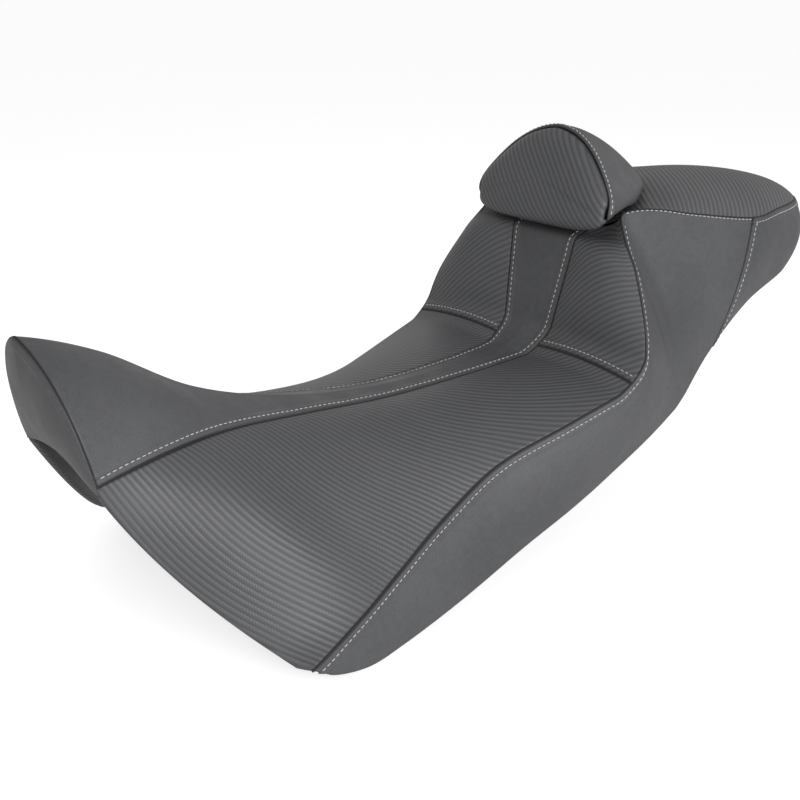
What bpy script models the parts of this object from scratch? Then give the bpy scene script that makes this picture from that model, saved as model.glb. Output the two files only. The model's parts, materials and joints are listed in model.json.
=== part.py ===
"""One-piece motorcycle seat with a folding, height-adjustable driver backrest.

Tables are in millimetres, measured from the middle of the lumbar crease, where the rider's seat meets the
lumbar wall: +X to the rider's left, +Y to the rear, +Z up. The model itself is in metres, and its origin is
CREASE_HEIGHT below that crease, on the underside of the rubber block that rests on the frame.
"""

import math

import bmesh
import bpy
import numpy as np

MM = 0.001
CREASE_HEIGHT = 62.0
GAP = 0.3  # between pieces that touch
SEAM_GAP = 1.0  # between the cut edges of two sewn panels
CORNER_INSET = 6.0  # where two panels meet at a sharp corner
CORNER_HALF = 3.0
LARGEST_TRIM = 0.75  # share of a grid's outer cell that a trim may take
PAN_GAP = 1.0  # between the pan's curved underside and a flat piece on it
FOAM_FRONT_INSET = 8.0  # of the foam behind the front panel
COVER = 2.0  # vinyl with its scrim backing
FOAM_GAP = 4.0  # between a panel and the foam under it
FLOOR_GAP = 3.0  # between the foam and the pan
PAN = 3.0  # wall of the moulded base pan
WELD = 0.00001

# Rails run front to rear, one point a station. Each panel lies between two rails, and its middle is shifted
# off the straight line between them by the panel's own list.
RIDER = {
    "centre": [(0, -482, 94), (0, -421, 71), (0, -350, 29), (0, -270, 4), (0, -180, -8), (0, -85, -7),
               (0, 0, 0)],
    "strip": [(71, -461, -1), (59, -397, 7), (43, -338, 5), (29, -265, -4), (21, -175, -12), (22, -80, -9),
              (29, 0, 0)],
    "edge": [(176, -358, -132), (160, -302, -115), (147, -259, -99), (134, -205, -75), (129, -145, -47),
             (138, -75, -25), (148, 0, -2)],
    "hem": [(175, -352, -137), (172, -310, -150), (165, -268, -149), (153, -200, -140), (143, -125, -122),
            (139, -62, -104), (138, -10, -82)],
    "strip_shift": [(15, -2, 16), (8, 0, 6), (2, 0, 1), (0, 0, 0), (0, 0, 0), (0, 0, 0), (0, 0, 0)],
    "panel_shift": [(-25, -3, -15), (6, -10, 9), (5, -3, 10), (5, 0, 11), (4, 0, 10), (3, 0, 8), (0, 0, 4)],
    "side_shift": [(0, 0, 0), (3, 0, 0), (5, 0, 0), (7, 0, 0), (9, 0, 0), (9, 0, 0), (8, 0, 0)],
}
LUMBAR = {
    "centre": [(0, 0, 0), (0, 7, 42), (0, 15, 84), (0, 19, 103), (0, 28, 109), (0, 40, 117)],
    "strip": [(29, 0, 0), (34, 8, 42), (39, 16, 84), (41, 20, 103), (43, 29, 109), (46, 40, 117)],
    "edge": [(148, 0, -2), (143, 8, 37), (117, 20, 84), (103, 24, 102), (94, 27, 113), (82, 32, 131)],
    "hem": [(138, -10, -82), (136, 32, -64), (130, 70, -49), (129, 77, -45), (128, 84, -40), (126, 92, -35)],
    "strip_shift": [(0, 0, 0)] * 6,
    "panel_shift": [(0, 0, 4), (4, -9, 4), (5, -9, 4), (4, -3, 1), (2, 3, -2), (0, 2, -5)],
    "side_shift": [(8, 0, 0), (8, 0, 0), (9, 0, 0), (9, 0, 1), (10, 0, 2), (10, 0, 3)],
}
PASSENGER = {
    "centre": [(0, 40, 117), (0, 66, 118), (0, 98, 129), (0, 135, 145), (0, 205, 146), (0, 270, 140),
               (0, 322, 129), (0, 344, 116)],
    "edge": [(82, 32, 131), (87, 50, 134), (93, 75, 132), (101, 112, 125), (110, 187, 114), (104, 233, 116),
             (82, 292, 115), (50, 327, 115)],
    "hem": [(126, 92, -35), (124, 103, -25), (122, 113, -17), (120, 123, -10), (118, 134, -3)],
    "top_shift": [(0, 0, -7), (0, 0, -6), (3, 0, 0), (5, 0, 7), (5, 0, 8), (5, 0, 7), (3, 2, 5), (0, 4, 1)],
    "side_shift": [(10, 0, 3), (10, 0, 0), (9, 0, 0), (8, 0, 0), (7, 0, 0)],
}
TAIL = {
    "hem": [(118, 134, -3), (110, 193, 31), (100, 262, 52), (60, 322, 60), (0, 342, 62)],
    "shift": [(7, 0, 0), (7, 4, 0), (6, 8, 0), (4, 10, 0), (0, 12, 0)],
}
FRONT_HEM = [(0, -464, 12), (26, -464, 9), (50, -463, 2), (69, -459, -10)]
FRONT_BULGE = 8.0

# The pan's underside: rows front to rear, each from the middle out to the edge inside the hem.
PAN_ROWS = [
    [(0, -456, 6), (60, -448, -10), (88, -400, -78), (154, -342, -123)],
    [(0, -400, -24), (70, -382, -32), (125, -345, -88), (156, -306, -135)],
    [(0, -330, -46), (75, -318, -50), (122, -292, -92), (150, -264, -136)],
    [(0, -250, -54), (75, -240, -57), (116, -217, -92), (138, -197, -127)],
    [(0, -160, -54), (75, -150, -57), (110, -136, -86), (128, -122, -109)],
    [(0, -70, -54), (75, -68, -57), (108, -64, -78), (124, -60, -91)],
    [(0, 10, -54), (75, 5, -57), (105, -2, -66), (123, -8, -71)],
    [(0, 62, -52), (72, 56, -53), (100, 46, -54), (120, 36, -54)],
    [(0, 96, -18), (70, 91, -22), (97, 82, -31), (113, 77, -36)],
    [(0, 116, 12), (68, 111, 7), (92, 105, -10), (108, 101, -17)],
    [(0, 146, 38), (66, 143, 33), (88, 141, 16), (102, 140, 11)],
    [(0, 195, 53), (62, 193, 50), (84, 193, 43), (95, 194, 39)],
    [(0, 255, 58), (55, 252, 57), (74, 250, 56), (85, 251, 56)],
    [(0, 298, 60), (38, 296, 60), (52, 294, 60), (61, 290, 59)],
    [(0, 318, 62), (18, 317, 62), (31, 314, 62), (41, 307, 61)],
]
PAN_SPLIT = 9  # the row where the driver's foam ends

# The backrest pad: face outline from the top middle down one side to the bottom middle, on a leaning plane.
PAD_FACE = [(0, 200), (24, 195), (46, 184), (68, 165), (82, 149), (85, 137), (78, 121), (55, 115), (25, 114),
            (0, 114)]
PAD_LEAN = 0.32
PAD_FACE_Y = 16.0  # the plane's place at PAD_FACE_Z
PAD_FACE_Z = 140.0
PAD_CORE_Z = 152.0  # the face's middle
PAD_CROWN = 6.0
PAD_DEPTH = 16.0  # foam between the face and the back plate
PAD_FOAM = 12.0
PAD_SEAM_INSET = 3.8
PAD_FOAM_INSET = 6.0
HINGE_POCKET = (56.0, 40.0, 40.0)  # room in the pad's foam for the hinge
HINGE_POCKET_AT = (0.0, 33.0, 127.0)
BACK_PLATE = [(18, -8), (18, 7), (60, 7), (54, 20), (36, 34), (14, 40)]  # one half, from PAD_FACE_Z up
PAD_DOME = [
    [(0, 35, 200), (30, 33, 193), (58, 27, 175), (84, 18, 145), (82, 14, 126)],
    [(0, 60, 195), (28, 56, 187), (54, 49, 167), (80, 38, 148), (80, 38, 139)],
    [(0, 90, 182), (27, 84, 174), (50, 75, 159), (71, 62, 148), (71, 62, 140)],
    [(0, 117, 163), (22, 111, 158), (42, 101, 151), (57, 87, 146), (56, 86, 140)],
    [(0, 126, 148), (17, 122, 146), (34, 113, 143), (49, 98, 141), (48, 97, 140)],
]

# The backrest's post, hinge and receiver.
POST_Y = 52.0
POST_WIDTH = 30.0
POST_THICK = 6.0
POST_FOOT = 18.0
HEAD_BOTTOM = 148.0
HEAD_TOP = 164.0
HEAD_WIDTH = 37.4
TUBE_OUTER = (36.0, 12.0)
TUBE_INNER = (32.0, 8.0)
TUBE_TOP = 146.0
TUBE_FOOT = -42.9
FOOT_PLATE = (66.0, 40.0, 3.0)
FOOT_PLATE_AT = (0.0, 42.0, -44.7)
FOOT_BOLTS = [(-26, 29), (26, 29), (-26, 55), (26, 55)]
TUBE_WAY = (41.0, 16.0, 210.0)  # cut for the tube through the foam and the cover
TUBE_WAY_Z = 54.0
PLATE_WAY = (72.0, 46.0, 14.0)
PLATE_WAY_AT = (0.0, 42.0, -45.0)
HINGE_Y = 19.0
HINGE_Z = 123.0
PIN_RADIUS = 3.0
PIN_HOLE = 3.4
CLIP = 1.2  # thickness of the ring on the pin's end
ARM_BOSS = 6.0
EAR_BOSS = 5.5
LEAF = 3.0  # thickness of the arms and ears
ARM_X = 20.5  # middle of an arm's thickness
ARM_TAIL = [(43, 130), (58, 130), (58, 163), (46, 163), (46, 147), (40, 141)]  # from the boss to the post
EAR_X = 14.5
EAR_TOP = (133.0, 142.0)  # heights where an ear meets the back plate
PLUNGER_Z = 139.0
PLUNGER_RADIUS = 2.4
PLUNGER_HOUSING = [(6.5, 0), (6.5, -9), (5.4, -10), (5.4, -13)]  # radius and height, outer side
PLUNGER_BORE = PLUNGER_RADIUS + 0.4
KNOB = [(6.8, 0), (8, -1.4), (8, -12), (6.4, -15)]
BEZEL_OUTER = (70.0, 27.0)
BEZEL_HOLE = (48.0, 18.0)
BEZEL_THICK = 2.5
BEZEL_Z = 122.0

# What fastens the pan to the motorcycle.
REST_BLOCK = (44.0, 30.0)
BUMPERS = [(45, -205), (45, -110), (36, 288)]  # the left ones; the right ones mirror them
BUMPER_RADIUS = 11.0
BUMPER_HEIGHT = 6.0
TONGUE_WIDTH = 36.0
TONGUE = [(-215, -55), (-252, -55), (-263, -67), (-306, -67), (-306, -71), (-261, -71), (-250, -59),
          (-215, -59)]
TONGUE_BOLTS = [(-10, -230), (10, -230)]
LATCH_Y = 255.0
LATCH_PLATE = (64.0, 26.0, 3.0)
LATCH_LOOP = (15.0, 28.0, 3.5)  # half width, depth, rod radius
LATCH_BOLTS = [(-25, 255), (25, 255)]
BOLT_RADIUS = 3.0
BOLT_HEAD = [(6.5, 0), (6.2, -2), (4, -3.4), (2.2, -3.6)]  # radius and height of the button head
BOLT_HOLE = 3.4
CHAMFER = 0.8

UPRIGHT = (math.pi / 2, 0, 0)  # a plate drawn in XZ
SIDEWAYS = (math.pi / 2, 0, math.pi / 2)  # a plate drawn in YZ

VINYL = (0.095, 0.096, 0.100)
CARBON_VINYL = (0.085, 0.086, 0.090)
FOAM = (0.55, 0.50, 0.36)
PLASTIC = (0.02, 0.02, 0.021)
RUBBER = (0.015, 0.015, 0.015)
STEEL = (0.45, 0.46, 0.48)
BLACK_STEEL = (0.03, 0.03, 0.032)


def clear_scene():
    for obj in list(bpy.data.objects):
        bpy.data.objects.remove(obj, do_unlink=True)


def collection(name):
    made = bpy.data.collections.new(name)
    bpy.context.scene.collection.children.link(made)
    return made


def material(name, colour, roughness, metallic=0.0):
    made = bpy.data.materials.new(name)
    made.use_nodes = True
    shader = made.node_tree.nodes["Principled BSDF"]
    shader.inputs["Base Color"].default_value = (*colour, 1.0)
    shader.inputs["Roughness"].default_value = roughness
    shader.inputs["Metallic"].default_value = metallic
    return made


def world(points):
    """Table millimetres to model metres."""
    return (np.asarray(points, float) + (0, 0, CREASE_HEIGHT)) * MM


def curve_through(points, at):
    """A smooth curve through the points, which sit at 0, 1, 2 ..., read at the given places."""
    p = np.asarray(points, float)
    last = len(p) - 1
    slope = np.empty_like(p)
    slope[1:-1] = (p[2:] - p[:-2]) / 2
    slope[0] = 2 * (p[1] - p[0]) - slope[1]
    slope[-1] = 2 * (p[-1] - p[-2]) - slope[-2]
    at = np.clip(at, 0, last)
    i = np.minimum(at.astype(int), last - 1)
    f = (at - i)[:, None]
    return (
        (2 * f**3 - 3 * f**2 + 1) * p[i]
        + (f**3 - 2 * f**2 + f) * slope[i]
        + (3 * f**2 - 2 * f**3) * p[i + 1]
        + (f**3 - f**2) * slope[i + 1]
    )


def between(inner, outer, shift, across, along):
    """A grid of points, rows front to rear, between two rails, its middle moved by shift."""
    at = np.linspace(0, len(inner) - 1, along)
    return ruled(*(curve_through(rail, at) for rail in (inner, outer, shift)), across)


def ruled(inner, outer, shift, across):
    """The grid between two rows of points of the same number."""
    t = np.linspace(0, 1, across)[None, :, None]
    return inner[:, None] * (1 - t) + outer[:, None] * t + 4 * t * (1 - t) * shift[:, None]


def through(rows, across, along):
    """A smooth grid through rows of points."""
    rows = np.asarray(rows, float)
    at = np.linspace(0, len(rows) - 1, along)
    columns = [curve_through(rows[:, j], at) for j in range(rows.shape[1])]
    u = np.linspace(0, rows.shape[1] - 1, across)
    return np.array([curve_through(row, u) for row in np.stack(columns, axis=1)])


def mirrored(grid):
    """The half grid and its mirror image, joined at the middle column."""
    other = grid[:, :0:-1] * (-1, 1, 1)
    return np.concatenate([other, grid], axis=1)


def flipped(grid):
    """The same panel on the rider's right."""
    return grid[:, ::-1] * (-1, 1, 1)


def trimmed(grid, sides, inset=SEAM_GAP / 2):
    """Draws the named edges in."""
    out = grid.copy()
    for side in sides:
        edge, inside = {
            "front": (np.s_[0], np.s_[1]),
            "rear": (np.s_[-1], np.s_[-2]),
            "inner": (np.s_[:, 0], np.s_[:, 1]),
            "outer": (np.s_[:, -1], np.s_[:, -2]),
        }[side]
        inward = out[inside] - out[edge]
        length = np.linalg.norm(inward, axis=-1, keepdims=True)
        out[edge] = out[edge] + inward / length * np.minimum(inset, length * LARGEST_TRIM)
    return out


def add_grid(bm, grid, flip=False):
    """Adds a grid of points as quads that face out when its columns run to +X and its rows to +Y."""
    points = world(grid)
    verts = [[bm.verts.new(p) for p in row] for row in points]
    for i in range(len(verts) - 1):
        for j in range(len(verts[0]) - 1):
            corners = [verts[i][j], verts[i][j + 1], verts[i + 1][j + 1], verts[i + 1][j]]
            bm.faces.new(reversed(corners) if flip else corners)


def new_object(name, bm, where, look):
    mesh = bpy.data.meshes.new(name)
    bm.to_mesh(mesh)
    bm.free()
    mesh.materials.append(look)
    obj = bpy.data.objects.new(name, mesh)
    where.objects.link(obj)
    return obj


def shade_round(obj, degrees=40):
    obj.data.shade_smooth()
    obj.data.set_sharp_from_angle(angle=math.radians(degrees))


def shell(name, grid, thickness, where, look, flip=False):
    """A panel: the open surface of the grid, thickened inward."""
    bm = bmesh.new()
    add_grid(bm, grid, flip)
    obj = new_object(name, bm, where, look)
    shade_round(obj)
    thick = obj.modifiers.new("Thickness", "SOLIDIFY")
    thick.thickness = thickness * MM
    thick.offset = -1.0
    return obj


def box(name, size, centre, where, look):
    bm = bmesh.new()
    bmesh.ops.create_cube(bm, size=1.0)
    bmesh.ops.scale(bm, vec=[s * MM for s in size], verts=bm.verts)
    obj = new_object(name, bm, where, look)
    obj.location = world(centre)
    return obj


def cylinder(name, radius, depth, centre, axis, where, look, segments=16):
    bm = bmesh.new()
    r = radius * MM
    bmesh.ops.create_cone(bm, cap_ends=True, segments=segments, radius1=r, radius2=r, depth=depth * MM)
    obj = new_object(name, bm, where, look)
    obj.location = world(centre)
    quarter = math.pi / 2
    obj.rotation_euler = {"X": (0, quarter, 0), "Y": (quarter, 0, 0), "Z": (0, 0, 0)}[axis]
    shade_round(obj)
    return obj


def turned(name, profile, place, rotation, where, look, steps=16):
    """A profile of (radius, height) pairs, top to bottom, turned about Z and closed at both ends."""
    bm = bmesh.new()
    verts = [bm.verts.new((r * MM, 0, z * MM)) for r, z in profile]
    for a, b in zip(verts, verts[1:]):
        bm.edges.new((a, b))
    obj = new_object(name, bm, where, look)
    turn = obj.modifiers.new("Turn", "SCREW")
    turn.steps = steps
    turn.render_steps = steps
    turn.use_merge_vertices = True
    turn.merge_threshold = WELD
    turn.use_smooth_shade = False
    obj.location = world(place)
    obj.rotation_euler = rotation
    return obj


def flat_plate(name, outlines, thickness, centre, rotation, where, look):
    """A 2D outline, with any holes after it, extruded to its thickness and turned into a welded mesh."""
    curve = bpy.data.curves.new(name, "CURVE")
    curve.dimensions = "2D"
    curve.fill_mode = "BOTH"
    curve.extrude = thickness / 2 * MM
    for outline in outlines:
        spline = curve.splines.new("POLY")
        spline.points.add(len(outline) - 1)
        for point, (x, y) in zip(spline.points, outline):
            point.co = (x * MM, y * MM, 0, 1)
        spline.use_cyclic_u = True
    drawn = bpy.data.objects.new(name + "_outline", curve)
    where.objects.link(drawn)
    drawn.location = world(centre)
    drawn.rotation_euler = rotation
    return welded_mesh(name, drawn, where, look)


def welded_mesh(name, drawn, where, look):
    """Replaces a curve object by a mesh whose caps are welded on."""
    bpy.context.view_layer.update()
    mesh = bpy.data.meshes.new_from_object(drawn.evaluated_get(bpy.context.evaluated_depsgraph_get()))
    bm = bmesh.new()
    bm.from_mesh(mesh)
    bmesh.ops.remove_doubles(bm, verts=bm.verts, dist=WELD)
    bmesh.ops.recalc_face_normals(bm, faces=bm.faces)
    obj = new_object(name, bm, where, look)
    obj.matrix_world = drawn.matrix_world
    bpy.data.objects.remove(drawn, do_unlink=True)
    bpy.data.meshes.remove(mesh)
    return obj


def cut(obj, cutter):
    hole = obj.modifiers.new("Cut", "BOOLEAN")
    hole.operation = "DIFFERENCE"
    hole.solver = "EXACT"
    hole.object = cutter


def hang(parent, *pieces):
    """Parents pieces where they stand."""
    bpy.context.view_layer.update()
    for piece in pieces:
        piece.parent = parent
        piece.matrix_parent_inverse = parent.matrix_world.inverted()


def as_cutter(obj):
    obj.hide_render = True
    obj.display_type = "WIRE"
    return obj


def rectangle(width, height):
    w, h = width / 2, height / 2
    return [(-w, -h), (w, -h), (w, h), (-w, h)]


def arc(centre, radius, start, end, count):
    angles = np.radians(np.linspace(start, end, count))
    return [(centre[0] + radius * math.cos(a), centre[1] + radius * math.sin(a)) for a in angles]


# ---- the skin: the grids that the panels and the foam share


def seat_skin():
    rider, lumbar, rear = RIDER, LUMBAR, PASSENGER
    top = between(rear["centre"], rear["edge"], rear["top_shift"], 7, 15)
    seam_row = 8  # where the side covers end and the tail cover begins
    tail_edge = np.concatenate([top[seam_row:, -1], top[-1, -2::-1]])
    return {
        "nose": between(rider["centre"], rider["strip"], rider["strip_shift"], 5, 15),
        "rider": between(rider["strip"], rider["edge"], rider["panel_shift"], 8, 15),
        "rider_side": between(rider["edge"], rider["hem"], rider["side_shift"], 5, 15),
        "strip": between(lumbar["centre"], lumbar["strip"], lumbar["strip_shift"], 5, 10),
        "lumbar": between(lumbar["strip"], lumbar["edge"], lumbar["panel_shift"], 8, 10),
        "lumbar_side": between(lumbar["edge"], lumbar["hem"], lumbar["side_shift"], 5, 10),
        "top": top,
        "rear_side": below(top[: seam_row + 1, -1], rear["hem"], rear["side_shift"]),
        "tail": below(tail_edge, TAIL["hem"], TAIL["shift"]),
        "front": front_panel(5),
    }


def below(edge, hem, shift):
    """The panel that hangs from a row of edge points down to the hem."""
    at = np.linspace(0, len(hem) - 1, len(edge))
    return ruled(edge, curve_through(hem, at), curve_through(shift, at), 5)


def front_panel(across):
    """The lens under the nose: from the arch of the nose down to the front hem."""
    places = 9
    arch = between(RIDER["centre"], RIDER["strip"], RIDER["strip_shift"], places, 2)[0]
    hem = curve_through(FRONT_HEM, np.linspace(0, len(FRONT_HEM) - 1, places))
    t = np.linspace(0, 1, across)[:, None, None]
    bulge = np.cos(np.linspace(0, math.pi / 2, places))[:, None] * (0, -FRONT_BULGE, 0)
    return hem * (1 - t) + arch * t + 4 * t * (1 - t) * bulge


def joined_rows(*grids):
    """Grids that follow each other front to rear, with their shared rows once."""
    return np.concatenate([grids[0]] + [g[1:] for g in grids[1:]])


def make_covers(skin, where, looks):
    middle = joined_rows(skin["nose"], skin["strip"])
    middle = trimmed(trimmed(middle, ["rear"], CORNER_HALF), ["front", "outer"])
    shell("center_cover", mirrored(middle), COVER, where, looks["vinyl"])
    front = trimmed(skin["front"][:, :-2], ["rear"], CORNER_INSET)
    shell("nose_front_cover", mirrored(front), COVER, where, looks["vinyl"])
    side = joined_rows(skin["rider_side"][1:], skin["lumbar_side"], skin["rear_side"])
    lumbar = trimmed(trimmed(skin["lumbar"], ["outer", "rear"], CORNER_HALF), ["inner", "front"])
    pieces = {
        "rider_panel": (trimmed(skin["rider"], ["inner", "outer", "rear"]), looks["carbon"]),
        "lumbar_panel": (lumbar, looks["carbon"]),
        "side_cover": (trimmed(trimmed(side, ["inner"], CORNER_INSET), ["rear"]), looks["vinyl"]),
    }
    for name, (grid, look) in pieces.items():
        shell(name + "_left", grid, COVER, where, look)
        shell(name + "_right", flipped(grid), COVER, where, look)
    top = trimmed(trimmed(skin["top"], ["front"], CORNER_HALF + SEAM_GAP), ["rear", "outer"])
    top_cover = shell("passenger_top_cover", mirrored(top), COVER, where, looks["carbon"])
    tail = trimmed(trimmed(skin["tail"], ["inner"], CORNER_INSET), ["front"])
    whole_tail = np.concatenate([tail, tail[-2::-1] * (-1, 1, 1)])
    shell("tail_cover", whole_tail, COVER, where, looks["vinyl"])
    return top_cover


def pan_grid():
    return through(PAN_ROWS, 7, 2 * len(PAN_ROWS) - 1)


def make_pan(grid, where, look):
    """The moulded pan: its underside is the grid, and its wall goes up from there."""
    return shell("base_pan", mirrored(grid), -PAN, where, look)


def foam(name, skins, floor, where, look):
    """Foam between the panels and the pan: the skin's grids and the pan's, both drawn in, then joined."""
    bm = bmesh.new()
    for grid in skins:
        add_grid(bm, grid)
        add_grid(bm, flipped(grid))
    bmesh.ops.remove_doubles(bm, verts=bm.verts, dist=WELD * 10)
    draw_in(bm, COVER + FOAM_GAP)
    lower = bmesh.new()
    add_grid(lower, mirrored(floor), flip=True)
    draw_in(lower, PAN + FLOOR_GAP)
    scratch = bpy.data.meshes.new("scratch")
    lower.to_mesh(scratch)
    lower.free()
    bm.from_mesh(scratch)
    bpy.data.meshes.remove(scratch)
    bmesh.ops.bridge_loops(bm, edges=[e for e in bm.edges if e.is_boundary])
    bmesh.ops.triangulate(bm, faces=bm.faces)
    bmesh.ops.recalc_face_normals(bm, faces=bm.faces)
    if bm.calc_volume(signed=True) < 0:
        bmesh.ops.reverse_faces(bm, faces=bm.faces)
    obj = new_object(name, bm, where, look)
    shade_round(obj)
    return obj


def draw_in(bm, distance):
    """Moves each vertex against its normal."""
    bm.normal_update()
    for vert in bm.verts:
        vert.co -= vert.normal * distance * MM


def make_foams(skin, floor, where, look):
    split = PAN_SPLIT * 2
    front = [trimmed(skin[n], ["front"], FOAM_FRONT_INSET) for n in ("nose", "rider", "rider_side")]
    rear = [skin[n][:-3] for n in ("strip", "lumbar", "lumbar_side")]
    rear_skin = [skin["top"][1:], skin["rear_side"][1:], skin["tail"]]
    driver = foam("driver_foam", front + rear, floor[:split], where, look)
    passenger = foam("passenger_foam", rear_skin, floor[split + 1 : -1], where, look)
    return driver, passenger


# ---- the backrest's receiver in the seat


def pan_low(fine_floor, x, y, reach):
    """The lowest height of the pan's underside within reach of a place, in table millimetres."""
    near = np.hypot(fine_floor[..., 0] - abs(x), fine_floor[..., 1] - y) < reach
    return float(fine_floor[near][:, 2].min())


def bolt(name, x, y, head_top, tip, where, look):
    """A button-head bolt, head down, its shaft reaching up to tip."""
    length = tip - head_top
    shaft = [(0, length), (BOLT_RADIUS - CHAMFER, length), (BOLT_RADIUS, length - CHAMFER), (BOLT_RADIUS, 0)]
    profile = shaft + BOLT_HEAD + [(0, BOLT_HEAD[-1][1])]
    return turned(name, profile, (x, y, head_top), (0, 0, 0), where, look, steps=12)


def bolt_way(name, x, y, low, high, where, look):
    """The cutter for a bolt's hole."""
    centre = (x, y, (low + high) / 2)
    return as_cutter(cylinder(name, BOLT_HOLE, high - low, centre, "Z", where, look, segments=12))


def make_receiver(fine_floor, covers_and_foams, pan, where, cutters, looks):
    steel = looks["black_steel"]
    height = TUBE_TOP - TUBE_FOOT
    middle = (TUBE_TOP + TUBE_FOOT) / 2
    tube = flat_plate("backrest_receiver_tube", [rectangle(*TUBE_OUTER), rectangle(*TUBE_INNER)], height,
                      (0, POST_Y, middle), (0, 0, 0), where, steel)
    wall_at = (0, POST_Y + TUBE_OUTER[1] / 2, PLUNGER_Z)
    pin_hole = cylinder("pin_way", PLUNGER_BORE, TUBE_INNER[1], wall_at, "Y", cutters, steel, segments=12)
    cut(tube, as_cutter(pin_hole))
    plate = box("receiver_foot_plate", FOOT_PLATE, FOOT_PLATE_AT, where, steel)
    tube_way = box("tube_way", TUBE_WAY, (0, POST_Y, TUBE_WAY_Z), cutters, steel)
    plate_way = box("plate_way", PLATE_WAY, PLATE_WAY_AT, cutters, steel)
    for piece in covers_and_foams:
        cut(piece, as_cutter(tube_way))
    cut(covers_and_foams[0], as_cutter(plate_way))
    for count, (x, y) in enumerate(FOOT_BOLTS, 1):
        under = pan_low(fine_floor, x, y, 8) - PAN_GAP
        bolt(f"receiver_bolt_{count}", x, y, under, FOOT_PLATE_AT[2] + 3.5, where, looks["steel"])
        way = bolt_way(f"receiver_bolt_way_{count}", x, y, under - 2, FOOT_PLATE_AT[2] + 5, cutters, steel)
        cut(pan, way)
        cut(plate, way)
    flat_plate("post_slot_bezel", [rectangle(*BEZEL_OUTER), rectangle(*BEZEL_HOLE)], BEZEL_THICK,
               (0, POST_Y, BEZEL_Z), (0, 0, 0), where, looks["plastic"])


def make_plunger(where, looks):
    """The spring plunger that holds the post at its height: a housing on the tube and a pull knob."""
    face = POST_Y + TUBE_OUTER[1] / 2 + GAP
    length = -PLUNGER_HOUSING[-1][1]
    housing = [(PLUNGER_BORE, 0)] + PLUNGER_HOUSING + [(PLUNGER_BORE, -length), (PLUNGER_BORE, 0)]
    turned("plunger_housing", housing, (0, face, PLUNGER_Z), UPRIGHT, where, looks["steel"])
    tip = POST_Y + POST_THICK / 2 + GAP
    knob_front = face + length + 2 * GAP
    reach = knob_front - tip
    pin = [(0, reach), (PLUNGER_RADIUS - CHAMFER, reach), (PLUNGER_RADIUS, reach - 1), (PLUNGER_RADIUS, 0)]
    knob = pin + KNOB + [(0, KNOB[-1][1])]
    turned("plunger_knob", knob, (0, knob_front, PLUNGER_Z), UPRIGHT, where, looks["plastic"])


def make_post(where, cutters, looks):
    steel = looks["black_steel"]
    bar, head = POST_WIDTH / 2, HEAD_WIDTH / 2
    outline = [(-bar, POST_FOOT), (bar, POST_FOOT), (bar, HEAD_BOTTOM), (head, HEAD_BOTTOM), (head, HEAD_TOP),
               (-head, HEAD_TOP), (-head, HEAD_BOTTOM), (-bar, HEAD_BOTTOM)]
    post = flat_plate("backrest_post", [outline], POST_THICK, (0, POST_Y, 0), UPRIGHT, where, steel)
    arm = arc((HINGE_Y, HINGE_Z), ARM_BOSS, 135, 310, 9) + ARM_TAIL
    hole = arc((HINGE_Y, HINGE_Z), PIN_HOLE, 0, 330, 12)
    for side, x in (("left", ARM_X), ("right", -ARM_X)):
        hang(post, flat_plate(f"hinge_arm_{side}", [arm, hole], LEAF, (x, 0, 0), SIDEWAYS, where, steel))
    reach = ARM_X + LEAF / 2 + GAP
    head = PIN_RADIUS + 2
    pin = [(0, reach + 3), (head - 1, reach + 3), (head, reach + 2), (head, reach), (PIN_RADIUS, reach),
           (PIN_RADIUS, -reach - 2.6), (PIN_RADIUS - CHAMFER, -reach - 3.2), (0, -reach - 3.2)]
    hang(post, turned("hinge_pin", pin, (0, HINGE_Y, HINGE_Z), (0, math.pi / 2, 0), where, looks["steel"]))
    inner = PIN_RADIUS + GAP
    ring = [(inner, CLIP), (head, CLIP), (head, 0), (inner, 0), (inner, CLIP)]
    clip_at = (-reach - CLIP, HINGE_Y, HINGE_Z)
    hang(post, turned("hinge_pin_clip", ring, clip_at, (0, math.pi / 2, 0), where, looks["steel"]))


# ---- the backrest pad


def pad_plane(z):
    return PAD_FACE_Y + PAD_LEAN * (z - PAD_FACE_Z)


def face_rings(inset, depth, rings, half_count):
    """Closed rings of the pad's crowned face, from a small middle ring out to the inset outline."""
    half = curve_through([(x, 0, z) for x, z in PAD_FACE], np.linspace(0, len(PAD_FACE) - 1, half_count))
    loop = np.concatenate([half, half[-2:0:-1] * (-1, 1, 1)])
    core = np.array((0, 0, PAD_CORE_Z))
    spoke = loop - core
    length = np.linalg.norm(spoke, axis=1, keepdims=True)
    rim = spoke * (1 - inset / length)
    out = []
    for share in np.linspace(0.15, 1, rings):
        ring = core + rim * share
        ring[:, 1] = pad_plane(ring[:, 2]) + depth - PAD_CROWN * (1 - share**2)
        out.append(ring)
    return out


def face_piece(name, inset, depth, thickness, where, look):
    bm = bmesh.new()
    rings = [[bm.verts.new(p) for p in world(ring)] for ring in face_rings(inset, depth, 5, 15)]
    bm.faces.new(rings[0])
    for inner, outer in zip(rings, rings[1:]):
        for i in range(len(inner)):
            j = (i + 1) % len(inner)
            bm.faces.new([inner[i], outer[i], outer[j], inner[j]])
    bm.normal_update()
    bmesh.ops.recalc_face_normals(bm, faces=bm.faces)
    if sum(f.normal.y for f in bm.faces) > 0:
        bmesh.ops.reverse_faces(bm, faces=bm.faces)
    obj = new_object(name, bm, where, look)
    shade_round(obj)
    thick = obj.modifiers.new("Thickness", "SOLIDIFY")
    thick.thickness = thickness * MM
    thick.offset = -1.0
    return obj


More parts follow.
